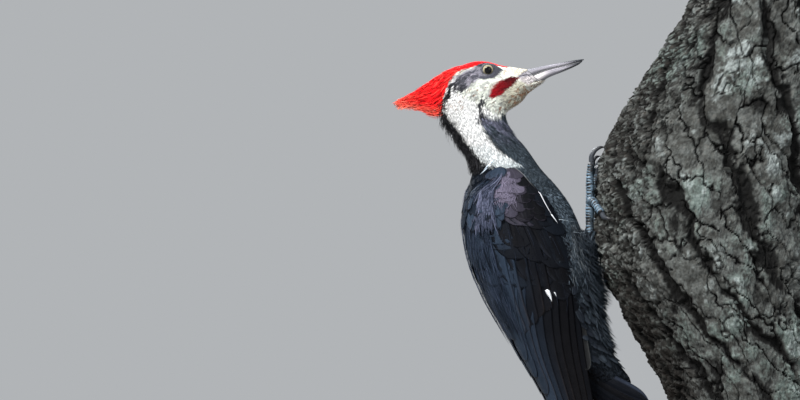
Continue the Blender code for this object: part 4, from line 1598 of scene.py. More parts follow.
@dataclass(frozen=True)
class Tract:
    """One tract of the body's coat.

    Attributes:
        name: the piece's name.
        start, end: first and last station.
        density: feathers for each square millimetre.
        length, width: size in millimetres against the station.
        lift: how far the tips stand over the solids' outline, against the station.
        build, coat: how each is made, and its finish.
        jitter: scatter of direction in radians.
    """

    name: str
    start: float
    end: float
    density: float
    length: tuple
    width: tuple
    lift: tuple
    build: Build
    coat: Coat
    jitter: float = 0.16

    def flow(self, s: Array, b: Array) -> tuple[Array, Array]:
        """The lie of the coat: down the body, fanned out from the nape, parted at the eyes.

        Round each eye it parts as a stream does round a post.

        Args:
            s, b: stations and angles.

        Returns:
            Turn from the body's lengthwise direction, and the room before the lids.
        """
        points = BODY.surface(s, b)
        neck = rise(s, 4.6, 1.2) * fall(s, 9.9, 1.0)
        fan = (0.42 + 0.3 * fall(np.abs(b), 1.05, 0.5)) * neck * fall(np.abs(b), 1.9, 0.7)
        turn = 0.3 * GRAIN.at(points, 14.0) - np.sign(b) * fan
        along = unit(BODY.surface(s + 0.02, b) - points)
        aside = unit(BODY.surface(s, b + 0.01) - points)
        room, post = np.full(s.shape, 99.0), 28.0
        for eye in map(Eye, Side):
            gap, near = points - eye.centre(), eye.near(points)
            x, y = np.einsum("...i,...i", gap, along), np.einsum("...i,...i", gap, aside)
            r2 = np.maximum(x * x + y * y, 1.0)
            stream = np.arctan2(-2 * post * x * y / r2 ** 2,
                                np.maximum(1 - post * (x * x - y * y) / r2 ** 2, 0.25))
            turn = turn + near * fall(np.sqrt(r2), 14, 8) * stream
            room = np.where(near & (x < 0) & (np.abs(y) < 5.4), np.sqrt(r2) - 5.0, room)
        return turn, room

    def grow(self) -> None:
        """Grow the tract and write it as one piece.

        Each feather takes its colour from where its middle lies. Those of the nape and the
        lower cheek stand up ragged, and those over the bill's base lie flat.
        """
        seed = int(self.start * 100) + 11
        s, b = scatter(BODY, (self.start, -np.pi), (self.end, np.pi), self.density, seed, bare)
        rng, count = np.random.default_rng(seed + 1), len(s)
        turn, room = self.flow(s, b)
        length = table(s, self.length) * rng.uniform(0.8, 1.2, count)
        length = np.minimum(length, np.maximum(room, 0.7))
        angle = np.degrees(np.abs(b))
        ragged = table(s, NAPE_RISE) * fall(angle, 40, 18)
        turn = turn + rng.normal(0, self.jitter, count) * (1 + 0.4 * ragged)

        neck = rise(s, 4.4, 1.0) * fall(s, 10.2, 0.6)
        stray = (0.4 + 1.6 * neck) * GRAIN.at(BODY.surface(s, b) + 30, 2.4)
        aside = rng.normal(0, 1, count) * (0.3 + 0.9 * neck * fall(np.abs(b), 1.0, 0.4))
        scale_s, scale_b = BODY.scale(s, b)
        middle = (s + (0.55 * length * np.cos(turn) + stray) / scale_s,
                  b + (0.55 * length * np.sin(turn) + stray + aside) / scale_b)
        colour = plumage(np.clip(middle[0], *BODY.limits), middle[1])
        colour = colour * rng.uniform(0.92, 1.05, count)[:, None]
        tip = colour * rng.uniform(0.98, 1.08, count)[:, None]

        high = table(s, self.lift) * rng.uniform(0.2, 1.1, count)
        clump = rise(GRAIN.at(BODY.surface(s, b) + 70, 5.0), -0.35, 0.8)
        high = high + 1.4 * ragged * clump * rng.uniform(0, 1, count) ** 1.6
        cheek = rise(angle, 135, 25) * fall(s, 6.8, 0.5)
        high = (high + 1.8 * cheek * rng.uniform(0.3, 1.0, count)) * (1 - horn_share(s, angle))
        width = table(s, self.width) * rng.uniform(0.8, 1.2, count)
        growth = Growth(s, b, turn, length * (1 + 0.08 * ragged), width,
                        -table(s, COAT_DEPTH) * 0.9, high, colour, tip, bend=0.8,
                        sway=rng.normal(0, 0.08, count))
        grow(BODY, growth, self.build, Unwrap(self.start, self.end)).write(self.name, self.coat)


TRACTS = (
    Tract("coat_face", 0.15, 2.6, 3.6, ((0, 3.0), (2.6, 4.0)), ((0, 0.55), (2.6, 0.7)),
          ((0, 0.1), (2.6, 0.3)), TUFT, Coat.FACE),
    Tract("coat_eye", 2.6, 4.4, 3.2, ((2.6, 3.6), (4.4, 6.0)), ((2.6, 0.65), (4.4, 0.85)),
          ((2.6, 0.3), (4.4, 0.4)), TUFT, Coat.FACE),
    Tract("coat_cheek", 4.4, 7.0, 1.9, ((4.4, 6.0), (7.0, 9.0)), ((4.4, 0.8), (7.0, 1.1)),
          ((4.4, 0.4), (7.0, 0.6)), SLEEK, Coat.FACE),
    Tract("coat_neck", 7.0, 10.6, 1.5, ((7, 10.0), (10.6, 13.0)), ((7, 0.9), (10.6, 1.3)),
          ((7, 0.4), (10.6, 0.2)), SLEEK, Coat.FACE, 0.09),
    Tract("coat_breast", 10.2, 20.6, 0.34, ((10.2, 10.0), (13, 13.0), (20.6, 14.0)),
          ((10.2, 2.4), (13, 3.4), (20.6, 4.0)), ((10.2, 0.1), (20.6, 0.3)), BREAST, Coat.SLATE,
          0.12),
)


@dataclass(frozen=True)
class HeadTrim:
    """Loose feathers of the head, and of the thighs: crest, bristles and dark plumes.

    Attributes:
        strands: silky feathers of the crest.
        crest_long: length of the crest's form.
        bristles: sets of corners, number, lengths, highest tip and colour; the first lies
            forward over the nostrils and the second hangs under the chin.
    """

    strands: int = 3000
    crest_long: float = 66.0
    bristle_sets: tuple = (
        ((0.3, 0.15), (1.6, 1.35), 800, (3.0, 5.5), 0.5, CREAM),
        ((0.0, 1.8), (1.2, np.pi), 520, (3.5, 8.0), 2.2, FACE_WHITE * 0.75))

    def crest(self) -> None:
        """Swept silky crest; the strands' tips pale and part along its lower edge."""
        rng, count, pairs = np.random.default_rng(31), self.strands, spread(self.strands)
        a, b = -0.12 + 1.0 * pairs[:, 0] ** 1.15, (pairs[:, 1] * 2 - 1) * np.pi
        under, late = rise(np.abs(b), 1.7, 1.0), rise(a, 0.45, 0.4)
        length = table(a, ((-0.12, 24.0), (0.4, 22.0), (0.88, 9.0))) * rng.uniform(0.7, 1.15, count)
        turn = np.sign(b) * (0.10 + 0.10 * late) * rise(np.abs(b), 0, 1.2)
        turn = turn + rng.normal(0, 1, count) * (0.07 + 0.12 * late)
        silk = blend(CRIMSON_DEEP, CRIMSON, np.clip(rng.uniform(0.2, 1.3, count), 0, 1))
        # Painted highlights: a few strands, chosen at random, are lighter orange.
        silk = blend(silk, CREST_TIP * (1.0, 0.35, 0.4), rng.uniform(0, 1, count) ** 5)
        fade = rise(a + length / 68, 0.72, 0.4) * 0.8 + 0.55 * under
        tip = blend(silk, CREST_TIP, np.clip(fade * rng.uniform(0.4, 1.2, count), 0, 1))
        room = self.crest_long * (0.95 + rng.uniform(-0.16, 0.03, count) - a)
        length = np.minimum(length, np.maximum(room, 4))
        width = rng.uniform(1.1, 1.9, count)
        high = rng.uniform(-0.6, 1.1, count) + 3.4 * under * rng.uniform(0, 1, count) ** 3
        growth = Growth(a, b, turn, length, width, -1.8, high, silk, tip, bend=0.9,
                        sway=rng.normal(0.02, 0.07 + 0.13 * late, count))
        piece = grow(CREST, growth, SILK, Unwrap(-0.12, 0.9)).write("crest_plumes", Coat.RED)
        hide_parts("crest")

    def bristles(self) -> None:
        """Cream bristles over the nostrils and foxed ones under the chin, on both sides."""
        rng, parts = np.random.default_rng(41), []
        for low, high, number, size, lift, colour in self.bristle_sets:
            a, b = between(low, high, spread(number, 5))
            clear = horn_share(a - 0.3, np.degrees(b)) < 0.5
            a, b, count = a[clear], b[clear], clear.sum()
            for sign in (1, -1):
                length = rng.uniform(*size, count) * (1 - 0.2 * a)
                base = tip = colour * rng.uniform(0.85, 1.08, count)[:, None]
                if lift > 1:
                    tip = blend(tip, BRISTLE * 0.6, np.clip(rng.uniform(-0.3, 2.0, count), 0, 1))
                growth = Growth(a, b * sign, np.pi + rng.normal(0, 0.16, count), length,
                                rng.uniform(0.35, 0.7, count), -0.5,
                                rng.uniform(0.2, lift, count), base, tip, bend=0.9)
                parts.append(grow(BODY, growth, TUFT, Unwrap(0.0, 1.5)))
        Plumes.merged(parts).write("bill_bristles", Coat.FACE)

    def thighs(self) -> None:
        """Loose dark feathers round the thighs, down to the heel."""
        parts = []
        for k, side in enumerate(Side):
            rng, form = np.random.default_rng(51 + k), thigh_form(side)
            a, b = scatter(form, (0.05, -np.pi), (0.93, np.pi), 0.45, 53 + k)
            count = len(a)
            colour = blend(BLUE_BLACK * 0.8, SLATE_PALE * 0.7, rng.uniform(0, 0.75, count) ** 2.4)
            growth = Growth(a, b, rng.normal(0, 0.2, count),
                            rng.uniform(8, 13, count) * (1.1 - 0.4 * a),
                            rng.uniform(1.2, 2.2, count), -1.6, rng.uniform(0.0, 1.6, count),
                            colour, colour * 1.25, bend=0.9, sway=rng.normal(0, 0.1, count))
            unwrap = Unwrap(-0.1 - 1.1 * k, 1.0 + 1.1 * (1 - k))
            parts.append(grow(form, growth, SILK, unwrap))
        Plumes.merged(parts).write("thigh_plumes", Coat.SLATE)

    def build(self) -> None:
        """Build the three pieces."""
        self.crest()
        self.bristles()
        self.thighs()


@dataclass(frozen=True)
class Mantle:
    """Body feathers that stand out: on the back between the wings, the belly and the flanks.

    Attributes:
        belly_sets: sets of corners, density, lengths, widths, highest tip, lightness and
            build, from the belly's loose plumes to its few broad feathers.
        lines: white hairlines as the side view's x and z of root and tip, the width, the
            height of the tip and the brightness.
        strands: fine pale strands by the thighs.
    """

    belly_sets: tuple = (
        ((12.8, np.pi - 0.9), (15.2, np.pi + 0.9), 0.5, (12, 20), (1.2, 2.4), 12.0, 0.16, FLUFF),
        ((15.0, np.pi - 0.9), (17.4, np.pi + 0.9), 0.34, (12, 20), (1.0, 2.2), 7.5, 0.2, FLUFF),
        ((12.4, 1.15), (16.5, 2.2), 0.12, (9, 15), (0.4, 0.8), 1.8, 0.75, FLUFF),
        ((12.4, 4.08), (16.5, 5.13), 0.12, (9, 15), (0.4, 0.8), 1.8, 0.75, FLUFF),
        ((14.6, 1.0), (18.4, 5.3), 0.035, (14, 20), (6.0, 9.0), 3.2, 0.25, SMALL_COVERT))
    lines: tuple = (
        (-123.3, 300.2, -115.5, 298.2, 1.8, 5.2, 1.0),
        (-116.3, 298.5, -108.8, 297.6, 1.5, 5.4, 0.8),
        (-112.5, 290.1, -106.3, 288.5, 1.5, 5.4, 0.9),
        (-106.8, 288.7, -98.4, 291.0, 1.6, 5.4, 1.0),
        (-98.8, 290.8, -92.0, 292.8, 1.4, 5.4, 0.8),
        (-173.5, 349.5, -180.5, 341.5, 2.2, 3.4, 0.95),
        (-178.0, 344.0, -183.0, 337.5, 1.5, 3.2, 0.8))
    strands: int = 60

    def back(self) -> None:
        """Broad rimmed feathers over the back, lifted towards the wings' inner edges."""
        rng, first, last = np.random.default_rng(57), 9.7, 11.9
        s, b = scatter(BODY, (first, -0.95), (last, 0.95), 0.09, 58)
        count, low = len(s), rise(s, 10.3, 1.4)
        # Painted sheen: lower on the back the feathers take more of the painted blue sheen.
        colour = blend(BLUE_BLACK, PAINTED_BLUE_SHEEN, rng.uniform(0.0, 0.7, count) * low)
        rim = blend(colour, LILAC_PALE, rng.uniform(0.0, 0.35, count) * low)
        high = table(s, ((first, 1.6), (last, 6.0))) * (1 - 0.35 * np.abs(b))
        growth = Growth(s, b, rng.normal(0, 0.12, count) + 0.2 * b, rng.uniform(15, 22, count),
                        rng.uniform(6.5, 9.0, count), table(s, ((first, -1.0), (last, 1.5))),
                        high * rng.uniform(0.8, 1.2, count), colour, colour * 1.1, bend=0.8,
                        rim=rim, rim_from=0.4)
        grow(BODY, growth, SMALL_COVERT, Unwrap(9.6, 12.0, -1.0, 1.0)).write(
            "mantle_feathers", Coat.BLACK)
        self.belly(rng)

    def belly(self, rng: np.random.Generator) -> None:
        """Loose plumes of the belly and flanks.

        Args:
            rng: the back's random numbers, which go on here.
        """
        parts = []
        for low, high, density, long, wide, top, light, build in self.belly_sets:
            s, b = scatter(BODY, low, high, density, 60 + len(parts), under_wing)
            count = len(s)
            colour = blend(BLUE_BLACK, SLATE_PALE, rng.uniform(0, light, count) ** 1.5)
            growth = Growth(s, b, rng.normal(0, 0.22, count), rng.uniform(*long, count),
                            rng.uniform(*wide, count), -1.5,
                            top * rng.uniform(0.05, 1, count) ** 1.4, colour, colour * 1.3,
                            bend=1.2, sway=rng.normal(0, 0.12, count),
                            rim=blend(colour, SLATE_PALE, np.full(count, 0.3)))
            parts.append(grow(BODY, growth, build, Unwrap(12.6, 18.6, 1.0, 5.3)))
        Plumes.merged(parts).write("belly_plumes", Coat.SLATE)

    def flank(self) -> None:
        """Pale fine strands on the flanks by the thighs, and broken white hairlines.

        Places are given as the side view's x and z; each is put on the nearest part of the
        body, on both sides.
        """
        rng, count = np.random.default_rng(65), self.strands
        s, b = grid(np.linspace(9.5, 19.5, 220), np.linspace(0.3, 2.9, 160))
        seen = BODY.surface(s, b)[..., (0, 2)].reshape(-1, 2)

        def placed(x: Array, z: Array) -> tuple[Array, Array]:
            """Stations and angles of places given in the side view."""
            pick = np.hypot(seen[:, 0] - x[:, None], seen[:, 1] - z[:, None]).argmin(1)
            return s.ravel()[pick], b.ravel()[pick]

        x0, z0, x1, z1, wide, high, bright = np.array(self.lines).T
        x, z = rng.uniform(-113, -98, count), rng.uniform(252, 298, count)
        drop = rng.uniform(5, 11, count)
        roots = placed(np.append(x0, x), np.append(z0, z))
        tips = placed(np.append(x1, x + 0.35 * drop + rng.normal(0, 1, count)),
                      np.append(z1, z - drop))
        tone = rgb(206, 222, 236) * np.append(bright, rng.uniform(0.04, 0.24, count))[:, None]
        wide = np.append(wide, rng.uniform(0.4, 0.8, count))
        high = np.append(high, np.full(count, 4.2))
        parts = [grow(BODY, Growth(roots[0], roots[1] * sign, 0.0, 9.0, wide, high - 0.8, high,
                                   tone, tone, bend=0.6),
                      STREAK, ends=(tips[0], tips[1] * sign)) for sign in (1, -1)]
        Plumes.merged(parts).write("flank_hairlines", Coat.FACE)

    def build(self) -> None:
        """Build the three pieces."""
        self.back()
        self.flank()


# ------------------------------------------------------------------ bill, wings and tail
@dataclass(frozen=True)
class Bill:
    """Chisel bill in two halves, ridged lengthwise, dark at the tip and along its lower edge."""

    rows: int = 120
    sides: int = 72

    def half(self, name: str, node: str, form: LineForm, upper: bool) -> None:
        """Build one half; its ridges are waves round the section that fade to the tip.

        Args:
            name: the piece's name.
            node: the solid that it stands for.
            form: the half's form.
            upper: whether it is the upper half.
        """
        a, b = grid(np.linspace(0, 1, self.rows), turns(self.sides))
        fade = (1 - a) ** 0.8
        ridge = 0.16 * np.exp(-((np.abs(np.sin(b)) - 0.72) / 0.08) ** 2) * fade
        surface = shell(form.surface(a, b, -(ridge + 0.05 * np.sin(b * 9 + 5 * a) * fade)))
        place, turn = poled(a, 0, 1), poled(b)
        cos = np.cos(turn)
        streak = GRAIN.layers(np.stack([place * 2.5, np.sin(turn) * 9, cos * 9], -1), 1.4, 3)
        if upper:
            low, mouth, root = rise(cos, 0.60, 0.25) * 0.8, rise(-cos, 0.80, 0.12), 0 * cos
        else:
            low, mouth = rise(-cos, 0.1, 0.8), rise(cos, 0.80, 0.12)
            root = fall(place, 0.34, 0.34) * rise(cos, -0.75, 0.4)
        colour = layered(
            rgb(98, 98, 108),
            (rgb(170, 167, 176), np.clip(0.6 + 1.2 * streak, 0, 1)),
            (rgb(62, 66, 78), low * np.clip(0.55 + 0.9 * streak, 0, 1)),
            (rgb(24, 24, 30), mouth * 0.95),
            (rgb(204, 198, 202), root * (1 - 0.8 * mouth)),
            (rgb(20, 24, 31), rise(place + 0.1 * streak + 0.16 * low, 0.42, 0.34) * 0.97))
        piece = write_mesh(name, surface, Coat.BILL, colour)
        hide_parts(node)

    def build(self) -> None:
        """Build both halves."""
        self.half("bill_top", "bill_upper", BILL_UPPER, True)
        self.half("bill_under", "bill_lower", BILL_LOWER, False)


def wing_colour(height: Array, share: Array, mottling: Array) -> Array:
    """Colours of a wing: blue-black, with painted blue sheen towards its inner edge, dark
    blue-black at the front, lilac at the shoulder.

    Args:
        height: height on the wing.
        share: share from its inner to its leading edge.
        mottling: value from 0 to 1 that lightens it.

    Returns:
        Linear colours.
    """
    patch = np.exp(-((height - 331) / 21.0) ** 4 - ((share - 0.53) / 0.18) ** 4)
    return layered(
        BROWN_BLACK,
        (BLUE_BLACK, 0.1 + 0.6 * mottling),
        # Painted sheen: the blue of a sky light over the wing's inner part.
        (blend(BLUE_BLACK, PAINTED_BLUE_SHEEN, 0.3 + 0.6 * mottling), fall(share, 0.56, 0.34)),
        (BLUE_BLACK * (1.1, 1.0, 0.9), rise(share, 0.84, 0.1) * rise(height, 262, 30)),
        (LILAC, np.clip(patch * (0.75 + 0.35 * mottling), 0, 1)))


@dataclass(frozen=True)
class Wing:
    """A folded wing: an arm, long quills, rows of coverts, loose barbs and white marks.

    Attributes:
        side: the bird's side.
        quills: root height and share, tip height and share, and width, outermost first.
        primaries: how many of them are primaries.
        coverts: rows of height at the middle, slant, number, length, width and tips' level.
        locks: number of locks that the pale barbs gather in.
        marks: root and tip as of quills, width, level and brightness: the white leading line
            in three parts, and the white bases of two quills.
    """

    side: Side
    quills: tuple = (
        (262, 0.97, 178, 0.95, 12), (268, 0.93, 141, 0.83, 15), (270, 0.89, 131, 0.71, 16),
        (272, 0.84, 121, 0.56, 18), (274, 0.79, 119, 0.43, 18), (276, 0.74, 124, 0.33, 17),
        (278, 0.68, 133, 0.24, 16), (280, 0.62, 144, 0.18, 15), (282, 0.57, 157, 0.14, 15),
        (284, 0.52, 171, 0.12, 14), (286, 0.48, 185, 0.10, 14),
        (288, 0.66, 226, 0.60, 21), (289, 0.60, 221, 0.50, 22), (290, 0.52, 214, 0.40, 24),
        (291, 0.42, 208, 0.29, 25), (292, 0.32, 204, 0.18, 26), (293, 0.22, 202, 0.08, 25))
    primaries: int = 11
    coverts: tuple = (
        (303, 5, 10, 60, 28, -1.0), (317, 7, 11, 46, 24, -0.75), (329, 6, 11, 32, 19, -0.45))
    locks: int = 9
    marks: tuple = (
        (345.0, 0.90, 325.0, 1.005, 0.8, 0.7, 0.22), (324.5, 1.0, 300.5, 1.0, 1.1, 0.7, 0.95),
        (306.0, 1.0, 298.0, 1.012, 1.7, 0.8, 1.0), (244.6, 0.702, 234.6, 0.722, 5.0, -0.6, 1.0),
        (242.5, 0.762, 238.5, 0.772, 1.5, -0.6, 0.8))

    @property
    def form(self) -> WingForm:
        """The wing's outer face."""
        return WingForm(self.side)

    @property
    def word(self) -> str:
        """The start of the pieces' names."""
        return f"wing_{self.side.name.lower()}"

    def arm(self) -> None:
        """The dark body of the wing, inside its feathers, as a sheet with a thick shoulder."""
        height, share = grid(np.linspace(345.0, 128.0, 90), np.linspace(0.03, 0.97, 36))
        share = share * table(height, ((128, 0.58), (150, 0.70), (178, 0.84), (205, 1.0)))
        thick = 0.6 + 4.0 * rise(np.minimum(share, 1 - share), 0, 0.2) * rise(height, 190, 110)
        surface = slab(self.form.surface(height, share, 3.0),
                       self.form.surface(height, share, 3.0 + thick))
        points = surface[0]
        vane = np.column_stack([np.full(len(points), 0.5), points[:, 2] / 10])
        piece = write_mesh(f"{self.word}_arm", surface, Coat.BLACK, BLUE_BLACK * 0.7,
                           {"Vane": vane})
        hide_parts(self.word)

    def grow_quills(self) -> None:
        """Long feathers, each laid over the one outside it: primaries, then secondaries."""
        rows, count = np.array(self.quills), len(self.quills)
        rng = np.random.default_rng(61)
        rows[:, 1:4:2] += rng.uniform(-0.012, 0.012, (count, 2))
        a, b, tip_a, tip_b, width = rows.T
        mottling = rng.uniform(0.1, 0.6, count)
        base = wing_colour(a, (b + tip_b) / 2, mottling)
        end = wing_colour(tip_a, tip_b + 0.1, mottling) * 0.9
        primary = np.arange(count) < self.primaries
        level = np.where(primary, -2.5, -1.9)
        rim = blend(base, rgb(60, 55, 56), rng.uniform(0.1, 0.6, count))
        rim[0] = rgb(118, 120, 120)
        growth = Growth(a, b, 0.0, a - tip_a, width, level, level + np.where(primary, 1.9, 0.55),
                        base, end, tilt=1.5, rim=rim)
        grow(self.form, growth, FLIGHT, ends=(tip_a, tip_b)).write(
            f"{self.word}_quills", Coat.BLACK)

    def grow_coverts(self) -> None:
        """Rows of large smooth coverts and small ones over the shoulder, with faint rims."""
        form, rng, parts = self.form, np.random.default_rng(71), []
        unwrap = Unwrap(294, 347, 0, 1)
        for height, slant, count, long, wide, level in self.coverts:
            share = np.linspace(0.06, 0.95, count) + rng.normal(0, 0.012, count)
            a = height - slant * (share - 0.5) * 2 + rng.normal(0, 2.5, count)
            mottling = np.clip(0.4 + 0.3 * rng.normal(0, 0.6, count), 0, 1)
            colour = wing_colour(a - long * 0.6, share, mottling)
            rim = blend(colour, rgb(70, 76, 88), rng.uniform(0.0, 0.35, count))
            growth = Growth(a, share, np.pi + rng.normal(-0.06, 0.05, count),
                            long * rng.uniform(0.8, 1.15, count) * (0.85 + 0.3 * share),
                            wide * rng.uniform(0.9, 1.1, count), level - 0.45, level, colour,
                            colour * 1.05, bend=0.8, tilt=0.3, rim=rim, rim_from=0.45)
            parts.append(grow(form, growth, COVERT, unwrap))
        a, share = scatter(form, (315.0, 0.02), (346.0, 0.98), 0.035, 73)
        count = len(a)
        mottling = np.clip(0.5 + 0.5 * GRAIN.at(form.surface(a, share), 11.0), 0, 1)
        size = table(a, ((315, 17.0), (346, 13.0))) * rng.uniform(0.85, 1.15, count)
        colour = wing_colour(a - size * 0.6, share, mottling)
        rim = blend(colour, rgb(112, 106, 124), rng.uniform(0.0, 0.45, count))
        growth = Growth(a, share, np.pi + rng.normal(0, 0.16, count), size, size * 0.8, -0.4,
                        rng.uniform(0.1, 0.35, count), colour, colour * 1.05, bend=0.9,
                        rim=rim, rim_from=0.45)
        parts.append(grow(form, growth, SMALL_COVERT, unwrap))
        Plumes.merged(parts).write(f"{self.word}_coverts", Coat.BLACK)

    def grow_barbs(self) -> None:
        """Fine hair-like barbs: over the patch, down the inner band, and in loose locks.

        Each set gives its corners in height and share, number, length, width, scatter of
        direction, highest tip and two colours. In the last set, which stands highest, each
        lock draws the barbs to its middle line.
        """
        form, rng, parts = self.form, np.random.default_rng(77), []
        grey, pale = rgb(44, 52, 68), rgb(96, 100, 122)
        for low, high, count, long, wide, stray, top, dark, light in (
                ((316, 0.38), (338, 0.68), 70, (6, 12), (0.2, 0.4), 0.45, 1.1, LILAC, LILAC * 1.8),
                ((215, 0.02), (338, 0.34), 380, (10, 24), (0.3, 0.8), 0.10, 0.8, BLUE_BLACK,
                 grey * 1.3),
                ((236, 0.30), (300, 0.90), 40, (10, 20), (0.2, 0.35), 0.08, -0.2, BROWN_BLACK,
                 grey * 0.7),
                ((304, 0.20), (332, 0.40), 400, (10, 19), (0.4, 0.9), 0.09, 2.4, grey * 0.7, pale)):
            pairs = spread(count, len(parts) * 31)
            a, b = between(low, high, pairs)
            turn = np.pi + rng.normal(0, stray, count)
            shade = np.clip(0.5 + 0.9 * GRAIN.at(form.surface(a, b), 3.0), 0, 1)
            if top > 1.5:
                lock = np.floor(pairs[:, 1] * self.locks)
                middle = low[1] + (high[1] - low[1]) * (lock + 0.5) / self.locks
                a = a - 9 * np.sin(lock * 2.4) * pairs[:, 0]
                turn = turn + (middle - b) * 9
                shade = np.clip(shade * (0.5 + 0.5 * np.cos(lock * 1.9)) + 0.1, 0, 1)
            colour = blend(dark, light, shade)
            growth = Growth(a, b, turn, rng.uniform(*long, count), rng.uniform(*wide, count),
                            0.5 * top - 0.3, rng.uniform(top - 0.5, top, count), colour,
                            colour * rng.uniform(1.0, 1.5, count)[:, None], bend=0.7,
                            sway=rng.normal(0, 0.07, count))
            parts.append(grow(form, growth, HAIR, Unwrap(200, 350, 0, 1)))
        Plumes.merged(parts).write(f"{self.word}_loose_barbs", Coat.BLACK)

    def grow_marks(self) -> None:
        """The white marks, as smooth slender streaks."""
        a, b, tip_a, tip_b, width, level, bright = np.array(self.marks).T
        tone = rgb(226, 230, 236) * bright[:, None]
        growth = Growth(a, b, 0.0, a - tip_a, width, level - 0.2, level, tone, tone, bend=0.5)
        grow(self.form, growth, STREAK, ends=(tip_a, tip_b)).write(
            f"{self.word}_white_marks", Coat.FACE)

    def build(self) -> None:
        """Build the whole wing."""
        self.arm()
        self.grow_quills()
        self.grow_coverts()
        self.grow_barbs()
        self.grow_marks()


@dataclass(frozen=True)
class Tail:
    """Stiff tail of pointed feathers in a wedge, the middle pair on top.

    Attributes:
        wedge: how much shorter the outermost feathers are.
        pairs: pairs of feathers.
        long, wide: size of the middle ones.
    """

    wedge: float = 0.30
    pairs: int = 6
    long: float = 120.0
    wide: float = 13.5

    def build(self) -> None:
        """Build the feathers from the outside inwards, each pair over the next one out."""
        rank = np.arange(self.pairs)[::-1]
        b = np.concatenate([(rank + 0.35) / self.pairs * 0.72 * sign for sign in (1, -1)])
        tip_b = np.concatenate([(rank + 0.40) / self.pairs * 0.93 * sign for sign in (1, -1)])
        order = np.argsort(-np.abs(tip_b), kind="stable")
        b, tip_b, count = b[order], tip_b[order], len(order)
        tip_a = 1 - self.wedge * np.abs(tip_b) ** 1.6
        level = -1.2 + 1.0 * np.arange(count) / count
        rng = np.random.default_rng(81)
        base = blend(BLUE_BLACK, BROWN_BLACK, rng.uniform(0.2, 0.8, count)) * 0.9
        rim = blend(base, rgb(74, 84, 104), np.full(count, 0.6))
        parts = []
        for sign in (1, -1):
            on = np.sign(tip_b) == sign
            growth = Growth(np.full(on.sum(), 0.02), b[on], 0.0, tip_a[on] * self.long, self.wide,
                            level[on], level[on] + 0.3, base[on], base[on] * 1.1,
                            tilt=-1.0 * sign, rim=rim[on])
            parts.append(grow(TailForm(), growth, STIFF, ends=(tip_a[on], tip_b[on])))
            parts[-1].bake[:, 0] = parts[-1].bake[:, 0] / 2 + (0.5 if sign > 0 else 0.0)
        piece = Plumes.merged(parts).write("tail_quills", Coat.BLACK)
        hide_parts("tail")


# ------------------------------------------------------------------ feet
@dataclass(frozen=True)
class Foot:
    """One foot: shank and four toes with scutes, and four flattened claws.

    Attributes:
        side: the bird's side.
        scute: pitch of the scutes.
        scale_depth: how far they stand out from the solid.
        around: points round a limb.
    """

    side: Side
    scute: float = 2.4
    scale_depth: float = 0.65
    around: int = 26

    def limb(self, form: TubeForm, rows: int = 90) -> tuple[Surface, Array]:
        """A scaled limb; ridges stand across its outer face, and a net covers the inner one.

        Args:
            form: the limb's tube.
            rows: rings along it.

        Returns:
            Its surface, and how deep in a groove each point lies.
        """
        a, b = grid(np.linspace(0, 1, rows), turns(self.around))
        long = a * np.linalg.norm(np.diff(np.asarray(form.path), axis=0), axis=1).sum()
        normal = form.normal(np.clip(a, 0.03, 0.97), b)
        outer = rise(normal @ np.array([-0.92, -0.2 * self.side.value, 0.2]), -0.1, 0.5)
        drift = 0.35 * np.sin(long * 0.9 + 2 * b) + 0.3 * np.sin(long * 2.3 + 1.0)
        wave = np.abs(np.sin(np.pi * long / self.scute + drift))
        groove = (1 - wave ** 1.1) * outer
        net = (1 - np.abs(np.sin(b * 5 + 3 * long)) * np.abs(np.sin(long * 2.4))) * (1 - outer)
        inset = 0.45 * groove + 0.10 * net - 0.14 * outer
        surface = shell(form.surface(a, b, inset - self.scale_depth))
        return surface, poled(np.maximum(groove, net * 0.5), 0.5, 0.5)

    def claw(self, node: str, joints: tuple) -> None:
        """A claw: a tube that narrows to a point, with fine ridges along it.

        Args:
            node: the solid that it stands for.
            joints: its points, as toes have them.
        """
        narrow = CLAW_RADIUS * (1.08 - 1.02 * np.linspace(0, 1, 9) ** 2.3)
        form = tube([leg_point(*joint, self.side) for joint in joints], 9, narrow)
        a, b = grid(np.linspace(0, 1, 48), turns(24))
        surface = shell(form.surface(a, b, 0.06 * np.sin(b * 6) * (1 - a)))
        colour = blend(rgb(50, 54, 60), rgb(20, 20, 24), rise(poled(a, 0, 1), 0.3, 0.6))
        piece = write_mesh(f"{node}_horn", surface, Coat.CLAW, colour)
        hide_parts(node)

    def build(self) -> None:
        """Build the foot and its claws."""
        word = self.side.name.lower()
        heel = leg_point(-1.0, 5.2, HEEL_Z, self.side)
        knuckle = leg_point(0.0, 4.9, KNUCKLE_Z, self.side)
        shank = TARSUS_RADIUS * np.array((1.12, 1, 0.95, 1, 1.12, 0.9))
        limbs = [self.limb(tube([heel, (heel + knuckle) / 2 + (-0.6, 0, 0), knuckle], 6, shank))]
        swell = 1 + 0.09 * np.cos(np.linspace(0, 4 * np.pi, 7))
        toe = TOE_RADIUS * swell * np.linspace(1.0, 0.82, 7)
        for number, (joints, claw) in TOES.items():
            limbs.append(self.limb(tube([leg_point(*j, self.side) for j in joints], 7, toe)))
            self.claw(f"claw_{word}_{number}", claw)
        surface = joined([limb[0] for limb in limbs])
        blotch = GRAIN.layers(surface[0], 4.0, 2)
        deep = rise(np.concatenate([limb[1] for limb in limbs]) + 0.3 * blotch, 0.20, 0.14)
        colour = blend(rgb(94, 116, 134), rgb(5, 6, 9), deep) * (1 + 0.3 * blotch)[:, None]
        piece = write_mesh(f"foot_{word}_scales", surface, Coat.FOOT, colour)
        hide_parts(f"foot_{word}")


